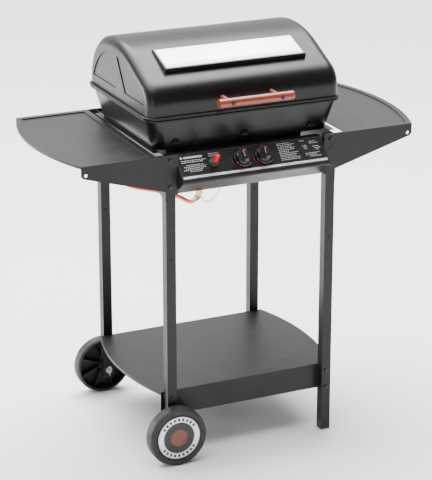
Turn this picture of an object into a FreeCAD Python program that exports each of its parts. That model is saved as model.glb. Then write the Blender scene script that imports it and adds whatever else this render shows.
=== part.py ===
import FreeCAD, Part
import math
import os
from FreeCAD import Placement, Rotation, Vector
from Sketcher import Constraint

# Gas barbecue grill on a wheeled trolley. +X is the right-hand side, -Y the front, +Z up.
# The origin is on the floor under the middle of the trolley. All sizes are millimetres.

SIZES = [
    # trolley frame
    ("frame_width", 456, "across the outer faces of the legs"),
    ("frame_depth", 456, "front to back over the legs"),
    ("leg_size", 25, "side of the square leg tube"),
    ("leg_wall", 1.5, "wall of the leg tube"),
    ("leg_top", 795, "height of the legs' top ends"),
    ("wheel_leg_bottom", 52, "height of the lower ends of the two wheel legs"),
    ("foot_plate", 3, "thickness of the foot cap under a standing leg"),
    ("foot_plug", 18, "depth of the foot cap's plug in the tube"),
    ("plug_gap", 0.3, "clearance of a plug in its tube"),
    ("leg_hole_height", 531, "height of the small hole in each leg's face"),
    ("leg_hole_radius", 2.2, "radius of that hole"),
    ("sheet", 1.2, "thickness of the folded steel sheets"),
    ("face_gap", 0.3, "clearance between neighbouring pieces"),
    # side tables
    ("table_height", 798, "height of the side tables' top"),
    ("table_corner", 444, "from the middle to a table's outer corners"),
    ("table_reach", 488, "from the middle to the middle of a table's curved edge"),
    ("table_inner", 252, "from the middle to a table's inner edge"),
    ("table_recess", 2.6, "depth of the pressed tray in a table"),
    ("border_side", 15, "width of the flat border at the curved and inner edges"),
    ("border_front", 8, "width of the flat border at the front edge"),
    ("border_back", 15, "width of the flat border at the back edge"),
    ("hem_height", 6, "height of the turned-down curved edge"),
    ("apron_end", 197, "from the middle to the inner end of a table's apron"),
    ("apron_outer_drop", 31, "apron height at its outer end"),
    ("apron_inner_drop", 92, "apron height where its slope ends, beside the leg"),
    ("hook_hole_radius", 4.2, "radius of the utensil hole in an apron's end"),
    ("hook_hole_inset", 12, "utensil hole's distance from the apron's end"),
    ("hook_hole_drop", 23, "utensil hole's depth below the table's top"),
    ("table_bolt_upper", 784, "height of the upper table bolts"),
    ("table_bolt_lower", 717, "height of the lower table bolts"),
    # side rails
    ("rail_bottom", 693, "height of a side rail's lower edge between the legs"),
    ("rail_foot", 683, "height of its lower edge at the legs"),
    ("rail_foot_length", 18, "length of the lower stretch at each leg"),
    ("rail_slope", 18, "length of the slanted stretch beside it"),
    ("rail_top", 796.5, "height of a side rail's top flange"),
    ("rail_flange", 17, "width of the outward top flange"),
    ("rail_bolt_upper", 765, "height of the upper side rail bolts"),
    ("rail_bolt_lower", 738, "height of the lower side rail bolts"),
    # bottom shelf
    ("shelf_height", 176, "height of the shelf's top"),
    ("shelf_apron", 66, "height of the shelf's front and back aprons"),
    ("shelf_corner", 236, "from the middle to the shelf's corners"),
    ("shelf_reach", 270, "from the middle to the middle of its curved edges"),
    ("shelf_hem", 8, "height of its turned-down curved edges"),
    ("shelf_bolt_upper", 165, "height of the upper shelf bolts"),
    ("shelf_bolt_lower", 118, "height of the lower shelf bolts"),
    ("bolt_radius", 3, "radius of the frame bolts"),
    ("bolt_head_radius", 5.5, "radius of their domed heads"),
    ("bolt_head_height", 3, "height of their heads"),
    ("nut_radius", 5.8, "corner radius of their nuts"),
    ("nut_height", 5, "height of their nuts"),
    # wheels
    ("wheel_radius", 75, "outer radius of a wheel"),
    ("wheel_width", 35, "width of a wheel"),
    ("wheel_gap", 6, "from a leg's face to the wheel beside it"),
    ("tread_thickness", 7, "thickness of a wheel's rim"),
    ("wheel_web", 4, "thickness of a wheel's outer disc"),
    ("wheel_dish", 2.5, "how far the middle of the outer disc is set in"),
    ("badge_radius", 56, "radius of the round badge on a wheel"),
    ("badge_height", 2.4, "thickness of the badge"),
    ("badge_ring", 15, "width of the badge's pale ring"),
    ("hub_radius", 13, "outer radius of a wheel's hub"),
    ("rib_width", 2.2, "thickness of a wheel's ribs"),
    ("axle_radius", 4, "radius of a wheel bolt"),
    ("axle_clearance", 0.08, "running clearance of a wheel on its bolt"),
    ("axle_head_radius", 8, "radius of a wheel bolt's head"),
    ("axle_head_height", 3, "height of a wheel bolt's head"),
    ("washer_radius", 9, "radius of the washer beside a wheel"),
    ("pin_radius", 1, "radius of a split pin's wire"),
    # bowl
    ("bowl_rim_x", 255, "half width of the bowl at its rim"),
    ("bowl_rim_y", 197, "half depth of the bowl at its rim"),
    ("bowl_ledge_x", 235, "half width of the bowl at its ledge"),
    ("bowl_ledge_y", 177, "half depth of the bowl at its ledge"),
    ("sump_x", 186, "half width of the bowl's sump under the ledge"),
    ("sump_y", 150, "half depth of the bowl's sump"),
    ("sump_taper", 8, "how much each side of the sump leans in"),
    ("sump_bottom", 730, "height of the sump's underside"),
    ("rim_height", 878, "height of the bowl's rim"),
    ("rim_bead", 5.6, "height of the rolled bead round a rim"),
    ("rim_overhang", 8, "how far a rim's bead stands out from the wall"),
    ("corner_radius", 30, "plan radius of the bowl's corners"),
    ("vent_spacing", 182, "distance between the bowl's front vents"),
    ("vent_height", 812, "height of the vents' lower edge"),
    ("vent_radius", 11, "radius of a vent's hood"),
    ("drain_radius", 9, "radius of the drain hole in the sump"),
    # lid
    ("lid_half_width", 256, "half width of the lid"),
    ("lid_half_depth", 198, "half depth of the lid"),
    ("lid_top", 1027, "height of the lid's crown"),
    ("crown_radius", 275, "radius of the crown"),
    ("crown_offset", 40, "how far behind the middle the crown's top lies"),
    ("back_radius", 130, "radius of the lid's back shoulder"),
    ("front_radius", 60, "radius of the lid's front shoulder"),
    ("front_slope", 24.2, "slope of the lid's front, degrees"),
    ("lid_corner", 24, "rounding of the lid's end edges"),
    ("emboss_depth", 2.2, "depth of the pressed panels in the lid's ends"),
    # window
    ("window_half_width", 188.5, "half width of the window's frame"),
    ("window_half_length", 45, "half length of the frame up the slope"),
    ("window_tilt", 19.6, "tilt of the glass, degrees"),
    ("window_back", 98, "distance of the glass's middle in front of the centre"),
    ("window_height", 1000.5, "height of the glass's middle"),
    ("window_border", 5, "width of the frame's lip beside the glass"),
    ("window_ledge", 9, "width of the frame's ledge under the glass"),
    ("glass_thickness", 4, "thickness of the window's glass"),
    # handle
    ("handle_length", 198, "length of the wooden handle bar"),
    ("handle_radius", 11, "radius of the handle bar"),
    ("handle_height", 916.5, "height of the handle bar's axis"),
    ("handle_reach", 251, "distance of the bar's axis in front of the centre"),
    ("handle_screw_spacing", 131, "distance between the handle's screws"),
    ("spacer_radius", 5.5, "radius of a handle spacer"),
    # lid hinges
    ("hinge_reach", 214, "distance of the hinge axis behind the centre"),
    ("hinge_height", 881, "height of the hinge axis"),
    ("hinge_spacing", 300, "distance between the two hinges"),
    ("hinge_leaf_width", 20, "width of a lid leaf and its knuckle"),
    ("hinge_ear", 3, "thickness of a bracket's ear"),
    ("knuckle_radius", 5.5, "outer radius of the knuckles"),
    ("hinge_pin_radius", 2.5, "radius of a hinge pin"),
    ("hinge_clearance", 0.06, "running clearance of a knuckle on its pin"),
    # control panel
    ("panel_half_width", 197, "half width of the control panel"),
    ("panel_top_y", 208.5, "distance of the panel's top edge in front of the centre"),
    ("panel_top_z", 790.5, "height of the panel's top edge"),
    ("panel_face", 80, "length of the sloping face"),
    ("panel_tilt", 45, "tilt of the face's normal above level, degrees"),
    ("panel_lip_y", 207, "distance of the panel's lower edge in front of the centre"),
    ("panel_lip_z", 692, "height of the panel's lower edge"),
    ("panel_nose", 6, "rounding of the panel's nose"),
    ("control_drop", 34, "distance of the controls from the face's top edge"),
    ("knob_spacing", 57, "distance between the two knobs"),
    ("igniter_offset", 104, "distance of the igniter left of the middle"),
    ("label_length", 56, "length of the printed plate down the face"),
    ("label_margin", 3, "plate's distance from the face's top edge"),
    ("plate_thickness", 0.5, "thickness of the printed plate and the trim strip"),
    ("strip_width", 6.2, "width of the trim strip"),
    ("strip_drop", 62.4, "distance of the trim strip from the face's top edge"),
    # controls
    ("knob_radius", 25, "radius of a knob's skirt"),
    ("knob_skirt", 5, "height of a knob's skirt"),
    ("knob_body_radius", 20.5, "radius of a knob's body"),
    ("knob_height", 15, "height of a knob's body"),
    ("knob_grip_width", 10, "width of a knob's grip"),
    ("knob_grip_height", 24, "height of a knob's grip"),
    ("knob_lift", 4.2, "gap from the face to a knob"),
    ("stem_radius", 3, "radius of a valve's spindle"),
    ("stem_clearance", 0.06, "running clearance of a spindle"),
    ("button_radius", 5.5, "radius of the igniter's button"),
    ("button_height", 34, "height of the button's end above the face"),
    ("bezel_radius", 12, "radius of the igniter's bezel"),
    ("bezel_height", 9, "height of the bezel"),
    # gas train
    ("manifold_radius", 6, "radius of the gas manifold"),
    ("post_spread", 50, "half the distance between the manifold's two posts"),
    ("manifold_depth", 47, "distance of the manifold behind the face"),
    ("valve_radius", 9, "radius of a valve's body"),
    ("burner_height", 754, "height of the burners' axis"),
    ("burner_radius", 10, "radius of a burner tube"),
    ("burner_spacing", 190, "distance between the two burner tubes"),
    ("burner_length", 240, "length of a burner tube"),
    ("burner_front", 110, "distance of the burners' cross tube in front of the centre"),
    ("fitting_x", 124, "distance of the hose fitting left of the middle"),
    ("fitting_y", 190, "distance of the hose fitting in front of the centre"),
    ("fitting_bottom", 674, "height of the fitting's lower end"),
    ("hose_radius", 5, "radius of the gas hose"),
    ("coil_radius", 55, "radius of the stowed hose loop at its middle"),
    ("coil_width", 20.6, "width of the stowed hose loop"),
    ("coil_x", 213.6, "distance of the loop's plane left of the middle"),
    ("coil_y", 100, "distance of the loop's middle behind the centre"),
    ("coil_z", 690, "height of the loop's middle"),
    ("lead_radius", 1, "radius of the ignition lead"),
    # grates and rocks
    ("grate_wire", 2.6, "radius of the cooking grate's frame wire"),
    ("grate_rod", 1.8, "radius of the cooking grate's rods"),
    ("grate_height", 864, "height of the cooking grate's frame wire"),
    ("grate_rods", 29, "number of rods in the cooking grate"),
    ("lava_bar", 3, "thickness of the lava grate's bars"),
    ("lava_bar_height", 7, "height of the lava grate's bars"),
    ("lava_bars", 15, "number of bars in the lava grate"),
    ("rock_size", 21, "mean radius of a lava rock"),
]

doc = FreeCAD.newDocument("gas_grill")
sheet = doc.addObject("Spreadsheet::Sheet", "Sizes")


class Size:
    """A number together with the sheet expression that gives it."""

    def __init__(self, value, text):
        self.value = float(value)
        self.text = text

    def __add__(self, other):
        other = as_size(other)
        return Size(self.value + other.value, f"({self.text} + {other.text})")

    def __sub__(self, other):
        other = as_size(other)
        return Size(self.value - other.value, f"({self.text} - {other.text})")

    def __mul__(self, other):
        other = as_size(other)
        return Size(self.value * other.value, f"({self.text} * {other.text})")

    def __truediv__(self, other):
        other = as_size(other)
        return Size(self.value / other.value, f"({self.text} / {other.text})")

    def __neg__(self):
        return Size(-self.value, f"(-1 * {self.text})")

    def __radd__(self, other):
        return as_size(other) + self

    def __rsub__(self, other):
        return as_size(other) - self

    def __rmul__(self, other):
        return as_size(other) * self


def as_size(number):
    return number if isinstance(number, Size) else Size(number, f"({number!r})")


def sine(angle):
    return Size(math.sin(math.radians(angle.value)), f"sin({angle.text} * 1 deg)")


def cosine(angle):
    return Size(math.cos(math.radians(angle.value)), f"cos({angle.text} * 1 deg)")


def root(number):
    return Size(math.sqrt(number.value), f"sqrt({number.text})")


def fill_sheet():
    table = {}
    for row, (name, value, note) in enumerate(SIZES, start=1):
        sheet.set(f"A{row}", name)
        sheet.set(f"B{row}", str(value))
        sheet.set(f"C{row}", note)
        sheet.setAlias(f"B{row}", name)
        table[name] = Size(value, f"Sizes.{name}")
    return table


S = fill_sheet()
doc.recompute()
NODES = []
counter = {}


# ---------------------------------------------------------------- building blocks


def fresh(kind):
    counter[kind] = counter.get(kind, 0) + 1
    return f"{kind}_{counter[kind]}"


def bind(obj, prop, size):
    size = as_size(size)
    setattr(obj, prop, size.value)
    obj.setExpression(prop, size.text)


def place(obj, x, y, z, turn=None):
    """Put an object's own origin at x, y, z, turned by an optional Rotation."""
    sizes = [as_size(c) for c in (x, y, z)]
    obj.Placement = Placement(Vector(*[c.value for c in sizes]), turn or Rotation())
    for axis, size in zip("xyz", sizes):
        obj.setExpression(f"Placement.Base.{axis}", size.text)
    return obj


def ordered(a, b):
    a, b = as_size(a), as_size(b)
    return (a, b) if a.value <= b.value else (b, a)


def block(xs, ys, zs):
    """A box between two X, two Y and two Z positions."""
    obj = doc.addObject("Part::Box", fresh("Block"))
    lows = []
    for prop, pair in zip(("Length", "Width", "Height"), (xs, ys, zs)):
        low, high = ordered(*pair)
        bind(obj, prop, high - low)
        lows.append(low)
    return place(obj, *lows)


AXIS_TURN = {
    "x": Rotation(Vector(0, 1, 0), 90),
    "y": Rotation(Vector(1, 0, 0), -90),
    "z": Rotation(),
}


def rod(axis, radius, start, end, a, b):
    """A cylinder along x, y or z from start to end; a and b are its other two positions."""
    low, high = ordered(start, end)
    obj = doc.addObject("Part::Cylinder", fresh("Rod"))
    bind(obj, "Radius", radius)
    bind(obj, "Height", high - low)
    centre = {"x": (low, a, b), "y": (a, low, b), "z": (a, b, low)}[axis]
    return place(obj, *centre, AXIS_TURN[axis])


def ball(radius, x, y, z):
    obj = doc.addObject("Part::Sphere", fresh("Ball"))
    bind(obj, "Radius", radius)
    return place(obj, x, y, z)


def fuse(*shapes):
    obj = doc.addObject("Part::MultiFuse", fresh("Joined"))
    obj.Shapes = list(shapes)
    return obj


def cut(base, *tools):
    obj = doc.addObject("Part::Cut", fresh("CutOut"))
    obj.Base = base
    obj.Tool = tools[0] if len(tools) == 1 else group(*tools)
    return obj


def common(a, b):
    obj = doc.addObject("Part::Common", fresh("Overlap"))
    obj.Base = a
    obj.Tool = b
    return obj


def group(*shapes):
    """Separate solids kept together in one object."""
    obj = doc.addObject("Part::Compound", fresh("Group"))
    obj.Links = list(shapes)
    return obj


def node(label, obj):
    obj.Label = label
    NODES.append(obj)
    return obj


SKETCH_TURN = {
    "XY": Rotation(),
    "XZ": Rotation(Vector(1, 0, 0), 90),
    "YZ": Rotation(Vector(1, 1, 1), 120),
}


def arc_between(start, end, radius, left):
    """The short arc from start to end; it turns left (anticlockwise) or right."""
    middle = (start + end) * 0.5
    chord = end - start
    side = Vector(-chord.y, chord.x, 0).normalize()
    height = math.sqrt(max(radius ** 2 - (chord.Length / 2) ** 2, 0))
    centre = middle + side * (height if left else -height)
    first, last = (start, end) if left else (end, start)
    angles = [math.atan2(p.y - centre.y, p.x - centre.x) for p in (first, last)]
    if angles[1] < angles[0]:
        angles[1] += 2 * math.pi
    circle = Part.Circle(centre, Vector(0, 0, 1), radius)
    return Part.ArcOfCircle(circle, angles[0], angles[1])


def pin_vertex(sketch, index, corner, x, y):
    """Hold one vertex of a sketch at x, y, measured from the sketch's origin."""
    for kind, size, axis in (("DistanceX", x, -2), ("DistanceY", y, -1)):
        if abs(size.value) < 1e-9:
            sketch.addConstraint(Constraint("PointOnObject", index, corner, axis))
            continue
        number = sketch.addConstraint(Constraint(kind, -1, 1, index, corner, size.value))
        sketch.setExpression(f"Constraints[{number}]", size.text)


def outline(plane, level, path):
    """A closed sketch. Each entry of path is (x, y) or (x, y, radius, "left" or "right"):
    the edge that starts there is straight, or an arc of that radius that turns that way."""
    sketch = doc.addObject("Sketcher::SketchObject", fresh("Outline"))
    spots = {"XY": (0, 0, level), "XZ": (0, level, 0), "YZ": (level, 0, 0)}[plane]
    place(sketch, *spots, SKETCH_TURN[plane])
    corners = [(as_size(p[0]), as_size(p[1])) for p in path]
    points = [Vector(x.value, y.value, 0) for x, y in corners]
    heads = []
    for i, entry in enumerate(path):
        start, end = points[i], points[(i + 1) % len(path)]
        if len(entry) == 2:
            sketch.addGeometry(Part.LineSegment(start, end))
            heads.append((1, 2))
            continue
        radius, left = as_size(entry[2]), entry[3] == "left"
        sketch.addGeometry(arc_between(start, end, radius.value, left))
        heads.append((1, 2) if left else (2, 1))
    for i, entry in enumerate(path):
        after = (i + 1) % len(path)
        sketch.addConstraint(Constraint("Coincident", i, heads[i][1], after, heads[after][0]))
        pin_vertex(sketch, i, heads[i][0], *corners[i])
        if len(entry) > 2:
            radius = as_size(entry[2])
            number = sketch.addConstraint(Constraint("Radius", i, radius.value))
            sketch.setExpression(f"Constraints[{number}]", radius.text)
    return sketch


PLANE_NORMAL = {"XY": Vector(0, 0, 1), "XZ": Vector(0, 1, 0), "YZ": Vector(1, 0, 0)}


def prism(plane, low, high, path):
    """An outline in a plane, extruded along that plane's axis from low to high."""
    low, high = ordered(low, high)
    obj = doc.addObject("Part::Extrusion", fresh("Prism"))
    obj.Base = outline(plane, low, path)
    obj.DirMode = "Custom"
    obj.Dir = PLANE_NORMAL[plane]
    obj.Solid = True
    bind(obj, "LengthFwd", high - low)
    return obj


def rounded(half_x, half_y, radius):
    """The path of a rounded rectangle round the centre."""
    x, y, r = as_size(half_x), as_size(half_y), as_size(radius)
    return [
        (r - x, -y), (x - r, -y, r, "left"),
        (x, r - y), (x, y - r, r, "left"),
        (x - r, y), (r - x, y, r, "left"),
        (-x, y - r), (-x, r - y, r, "left"),
    ]


def loft(lower, upper):
    obj = doc.addObject("Part::Loft", fresh("Loft"))
    obj.Sections = [lower, upper]
    obj.Solid = True
    obj.Ruled = True
    return obj


def turned(path):
    """A profile in the XZ plane, with x as the radius, turned once round the Z axis."""
    obj = doc.addObject("Part::Revolution", fresh("Turned"))
    obj.Source = outline("XZ", 0, path)
    obj.Axis = Vector(0, 0, 1)
    obj.Base = Vector(0, 0, 0)
    obj.Angle = 360
    obj.Solid = True
    return obj


def rounded_edges(base, radius, wanted):
    """Fillet the edges of base whose middle and ends pass the test wanted(edge)."""
    doc.recompute()
    edges = [i for i, e in enumerate(base.Shape.Edges, start=1) if wanted(e)]
    obj = doc.addObject("Part::Fillet", fresh("Rounded"))
    obj.Base = base
    obj.Edges = [(i, radius, radius) for i in edges]
    return obj


# ---------------------------------------------------------------- shared positions

half_width = S["frame_width"] / 2
half_depth = S["frame_depth"] / 2
leg = S["leg_size"]
leg_x = half_width - leg / 2
leg_y = half_depth - leg / 2
sheet_wall = S["sheet"]
gap = S["face_gap"]
SIDES = (("left", -1), ("right", 1))
ENDS = (("front", -1), ("rear", 1))


def bolt(axis, sign, start, end, a, b):
    """A domed bolt through start (head side) to end (nut side); sign points to its head."""
    head = rod(axis, S["bolt_head_radius"], start, start + sign * S["bolt_head_height"], a, b)
    shank = rod(axis, S["bolt_radius"], start, end - sign * (S["nut_height"] + 2), a, b)
    nut = doc.addObject("Part::Prism", fresh("Nut"))
    nut.Polygon = 6
    bind(nut, "Circumradius", S["nut_radius"])
    bind(nut, "Height", S["nut_height"])
    low = end - S["nut_height"] if sign > 0 else end
    centre = {"x": (low, a, b), "y": (a, low, b)}[axis]
    place(nut, *centre, AXIS_TURN[axis])
    return fuse(head, shank, nut)


# ---------------------------------------------------------------- trolley frame


def make_leg(side, sx, end, sy, bottom):
    """A square tube with cross holes for every bolt, its wheel bolt and the small face hole."""
    xs = (sx * half_width, sx * (half_width - leg))
    ys = (sy * half_depth, sy * (half_depth - leg))
    wall = S["leg_wall"]
    inner_xs = (sx * (half_width - wall), sx * (half_width - leg + wall))
    inner_ys = (sy * (half_depth - wall), sy * (half_depth - leg + wall))
    outer = block(xs, ys, (bottom, S["leg_top"]))
    bore = block(inner_xs, inner_ys, (bottom - 1, S["leg_top"] + 1))
    past = (sy * (half_depth + 5), sy * (half_depth - leg - 5))
    holes = [bore]
    for name in ("table_bolt_upper", "table_bolt_lower", "shelf_bolt_upper", "shelf_bolt_lower"):
        holes.append(rod("y", S["bolt_radius"], *past, sx * leg_x, S[name]))
    outside = (sx * (half_width + 5), sx * (half_width - leg - 5))
    for height in rail_bolt_heights():
        holes.append(rod("x", S["bolt_radius"], *outside, sy * leg_y, height))
    small = (past[1], sy * (half_depth - leg + wall * 2)) if sy > 0 else (
        past[0], sy * (half_depth - wall * 2))
    holes.append(rod("y", S["leg_hole_radius"], *small, sx * leg_x, S["leg_hole_height"]))
    if sx < 0:
        holes.append(rod("y", S["axle_radius"], *past, sx * leg_x, S["wheel_radius"]))
    return node(f"{end}_{side}_leg", cut(outer, *holes))


def rail_bolt_heights():
    return (S["rail_bolt_lower"], S["rail_bolt_upper"])


def make_foot(end, sy):
    """The plastic cap that closes the lower end of a standing leg."""
    inset = S["leg_wall"] + S["plug_gap"]
    xs = (half_width, half_width - leg)
    ys = (sy * half_depth, sy * (half_depth - leg))
    plate = block(xs, ys, (0, S["foot_plate"]))
    plug = block(
        (half_width - inset, half_width - leg + inset),
        (sy * (half_depth - inset), sy * (half_depth - leg + inset)),
        (0, S["foot_plate"] + S["foot_plug"]))
    return fuse(plate, plug)


def make_frame():
    for end, sy in ENDS:
        make_leg("left", -1, end, sy, S["wheel_leg_bottom"])
        make_leg("right", 1, end, sy, S["foot_plate"])
    node("foot_caps", group(*[make_foot(end, sy) for end, sy in ENDS]))


def make_rail(side, sx):
    """A side rail over the legs' outer faces, with an outward flange that carries the bowl."""
    low, foot, top = S["rail_bottom"], S["rail_foot"], S["rail_top"]
    end = half_depth
    step = end - S["rail_foot_length"]
    ramp = step - S["rail_slope"]
    face = sx * half_width
    web = prism("YZ", face, face + sx * sheet_wall, [
        (-end, foot), (-step, foot), (-ramp, low), (ramp, low),
        (step, foot), (end, foot), (end, top), (-end, top)])
    flange_end = end - leg - 13
    flange = block((face, sx * (half_width + S["rail_flange"])), (-flange_end, flange_end),
                   (top - sheet_wall, top))
    past = (sx * (half_width - 5), sx * (half_width + 5))
    holes = [rod("x", S["bolt_radius"], *past, sy * leg_y, height)
             for _, sy in ENDS for height in rail_bolt_heights()]
    node(f"{side}_side_rail", cut(fuse(web, flange), *holes))


def rail_bolts():
    bolts = []
    for _, sx in SIDES:
        face = sx * (half_width + sheet_wall)
        inner = sx * (half_width - leg)
        for _, sy in ENDS:
            for height in rail_bolt_heights():
                bolts.append(bolt("x", sx, face, inner, sy * leg_y, height))
    return bolts


def apron_path(sx):
    """An apron's outline in the XZ plane, from its inner end round by its sloping lower edge."""
    top = S["table_height"]
    inner, outer = sx * S["apron_end"], sx * S["table_corner"]
    toe = sx * (half_width - 3)
    low = top - S["apron_inner_drop"]
    tip = top - S["apron_outer_drop"]
    r = as_size(6)
    return [(inner, top), (inner, low), (toe, low), (outer - sx * r, tip),
            (outer, tip + r), (outer, top)]


def table_path(sx, inset_side, inset_front, inset_back, inner_edge):
    """The D-shaped plan of a table, drawn in from its edges."""
    d, b = half_depth, S["table_corner"]
    bulge = S["table_reach"] - b
    radius = (d * d + bulge * bulge) / (2 * bulge)
    centre = S["table_reach"] - radius
    small = radius - inset_side
    front, back = d - inset_front, d - inset_back
    corner_front = centre + root(small * small - front * front)
    corner_back = centre + root(small * small - back * back)
    turn = "left" if sx > 0 else "right"
    return [
        (sx * inner_edge, -front), (sx * corner_front, -front, small, turn),
        (sx * corner_back, back), (sx * inner_edge, back),
    ]


def make_table(side, sx):
    """A side table: one pressed sheet with a tray, a hem on its curve and two tapered aprons."""
    top, t = S["table_height"], sheet_wall
    inner = S["table_inner"]
    side_in, front_in, back_in = S["border_side"], S["border_front"], S["border_back"]
    depth = S["table_recess"]
    plan = table_path(sx, 0, 0, 0, inner)
    tray = table_path(sx, side_in, front_in, back_in, inner + side_in)
    under = table_path(sx, side_in - t, front_in - t, back_in - t, inner + side_in - t)
    pressed = prism("XY", top - depth - t, top - t, under)
    skin = prism("XY", top - t, top, plan)
    hollow = prism("XY", top - depth, top + 1, tray)
    hem_outer = prism("XY", top - S["hem_height"], top, plan)
    hem_inner = prism("XY", top - S["hem_height"] - 1, top + 1,
                      table_path(sx, t, -1, -1, inner - 5))
    pieces = [skin, pressed, cut(hem_outer, hem_inner)]
    for _, sy in ENDS:
        pieces.append(prism("XZ", sy * half_depth, sy * (half_depth + t), apron_path(sx)))
        lip = (sy * (half_depth + t), sy * (half_depth - 6))
        pieces.append(block((sx * S["apron_end"], sx * (inner + 1)), lip, (top - t, top)))
    holes = [hollow]
    past = half_depth + 5
    hook_x = sx * (S["table_corner"] - S["hook_hole_inset"])
    for _, sy in ENDS:
        span = (sy * (half_depth - 5), sy * past)
        holes.append(rod("y", S["hook_hole_radius"], *span, hook_x, top - S["hook_hole_drop"]))
        for name in ("table_bolt_upper", "table_bolt_lower"):
            holes.append(rod("y", S["bolt_radius"], *span, sx * leg_x, S[name]))
    if sx > 0:
        holes.append(prism("XZ", -half_depth - 5, -half_depth + 5, release_slot()))
    node(f"{side}_table", cut(fuse(*pieces), *holes))


def release_slot():
    """The bent slot beside the upper bolt in the right table's front apron."""
    x, z, w = leg_x + 4, S["table_bolt_upper"] - 7, as_size(2.2)
    return [(x, z), (x + w, z), (x + w - 1, z - 9), (x - 15, z - 18),
            (x - 16, z - 18 + w), (x - 1, z - 9 + w)]


def table_bolts():
    bolts = []
    for _, sx in SIDES:
        for _, sy in ENDS:
            for name in ("table_bolt_upper", "table_bolt_lower"):
                face = sy * (half_depth + sheet_wall)
                inner = sy * (half_depth - leg)
                bolts.append(bolt("y", sy, face, inner, sx * leg_x, S[name]))
    return bolts


def shelf_plan(inset):
    """The shelf's plan: straight front and back, and two curved ends."""
    edge = half_depth - leg
    bulge = S["shelf_reach"] - S["shelf_corner"]
    radius = (edge * edge + bulge * bulge) / (2 * bulge)
    centre = S["shelf_reach"] - radius
    small = radius - inset
    corner = centre + root(small * small - edge * edge)
    return [(-corner, -edge), (corner, -edge, small, "left"),
            (corner, edge), (-corner, edge, small, "left")]


def make_shelf():
    """The bottom shelf, folded down at the front, the back and along its curved ends."""
    top, t, edge = S["shelf_height"], sheet_wall, half_depth - leg
    skin = prism("XY", top - t, top, shelf_plan(0))
    hem = cut(prism("XY", top - S["shelf_hem"], top, shelf_plan(0)),
              prism("XY", top - S["shelf_hem"] - 1, top + 1, shelf_plan(t)))
    aprons, holes = [], []
    for _, sy in ENDS:
        reach = S["shelf_corner"]
        aprons.append(block((-reach, reach), (sy * edge, sy * (edge - t)),
                            (top - S["shelf_apron"], top)))
        for _, sx in SIDES:
            for name in ("shelf_bolt_upper", "shelf_bolt_lower"):
                span = (sy * (edge - 5), sy * (edge + 5))
                holes.append(rod("y", S["bolt_radius"], *span, sx * leg_x, S[name]))
    node("bottom_shelf", cut(fuse(skin, hem, *aprons), *holes))
    bolts = []
    for _, sy in ENDS:
        for _, sx in SIDES:
            for name in ("shelf_bolt_upper", "shelf_bolt_lower"):
                bolts.append(bolt("y", sy, sy * half_depth, sy * (edge - t), sx * leg_x, S[name]))
    return bolts


# ---------------------------------------------------------------- wheels


pocket_depth = S["axle_head_height"] + 0.6


def wheel_profile():
    """Half section of a wheel: x is the radius, z = 0 is the open inner side."""
    r, w = S["wheel_radius"], S["wheel_width"]
    bore = S["axle_radius"] + S["axle_clearance"]
    rim = r - S["tread_thickness"]
    seat = S["badge_radius"] + 2.5
    face = w - S["wheel_dish"]
    web = face - S["wheel_web"]
    hub, chamfer = S["hub_radius"], as_size(4)
    pocket, pocket_floor = S["axle_head_radius"] + 1.5, face - pocket_depth
    return [
        (bore, 2), (hub, 2), (hub, web), (rim, web), (rim, 0), (r - chamfer, 0),
        (r, chamfer), (r, w - chamfer), (r - chamfer, w), (seat + 2.5, w), (seat, face),
        (pocket, face), (pocket, pocket_floor), (bore, pocket_floor),
    ]


def make_wheel(end, sy):
    """A moulded wheel, open towards its leg, with eight ribs between hub and rim."""
    body = turned(wheel_profile())
    web = S["wheel_width"] - S["wheel_dish"] - S["wheel_web"]
    rim = S["wheel_radius"] - S["tread_thickness"]
    ribs = []
    for k in range(8):
        rib = doc.addObject("Part::Box", fresh("Rib"))
        bind(rib, "Length", rim - S["hub_radius"] + 3)
        bind(rib, "Width", S["rib_width"])
        bind(rib, "Height", web - 9)
        turn = Rotation(Vector(0, 0, 1), 45 * k + 22.5)
        along = turn.multVec(Vector(1, 0, 0))
        across = turn.multVec(Vector(0, 1, 0))
        start, shift = S["hub_radius"] - 1.5, S["rib_width"] / -2
        place(rib, along.x * start + across.x * shift, along.y * start + across.y * shift,
              10, turn)
        ribs.append(rib)
    wheel = fuse(body, *ribs)
    turn = Rotation(Vector(1, 0, 0), 90 if sy < 0 else -90)
    inner_face = sy * (half_depth + S["wheel_gap"])
    place(wheel, -leg_x, inner_face, S["wheel_radius"], turn)
    node(f"{end}_wheel", wheel)


def make_badge(end, sy):
    """The round badge in a wheel's outer face: a pale ring round a plain dark disc."""
    face = half_depth + S["wheel_gap"] + S["wheel_width"] - S["wheel_dish"]
    low = sy * face
    r, t = S["badge_radius"], S["badge_height"]
    inner = r - S["badge_ring"]
    span = (low, sy * (face + t))
    axle = (-leg_x, S["wheel_radius"])
    past = (sy * (face - 1), sy * (face + t + 1))
    ring = cut(rod("y", r, *span, *axle), rod("y", inner, *past, *axle))
    node(f"{end}_wheel_ring", ring)
    node(f"{end}_hub_cap", rod("y", inner - gap, *span, *axle))


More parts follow.
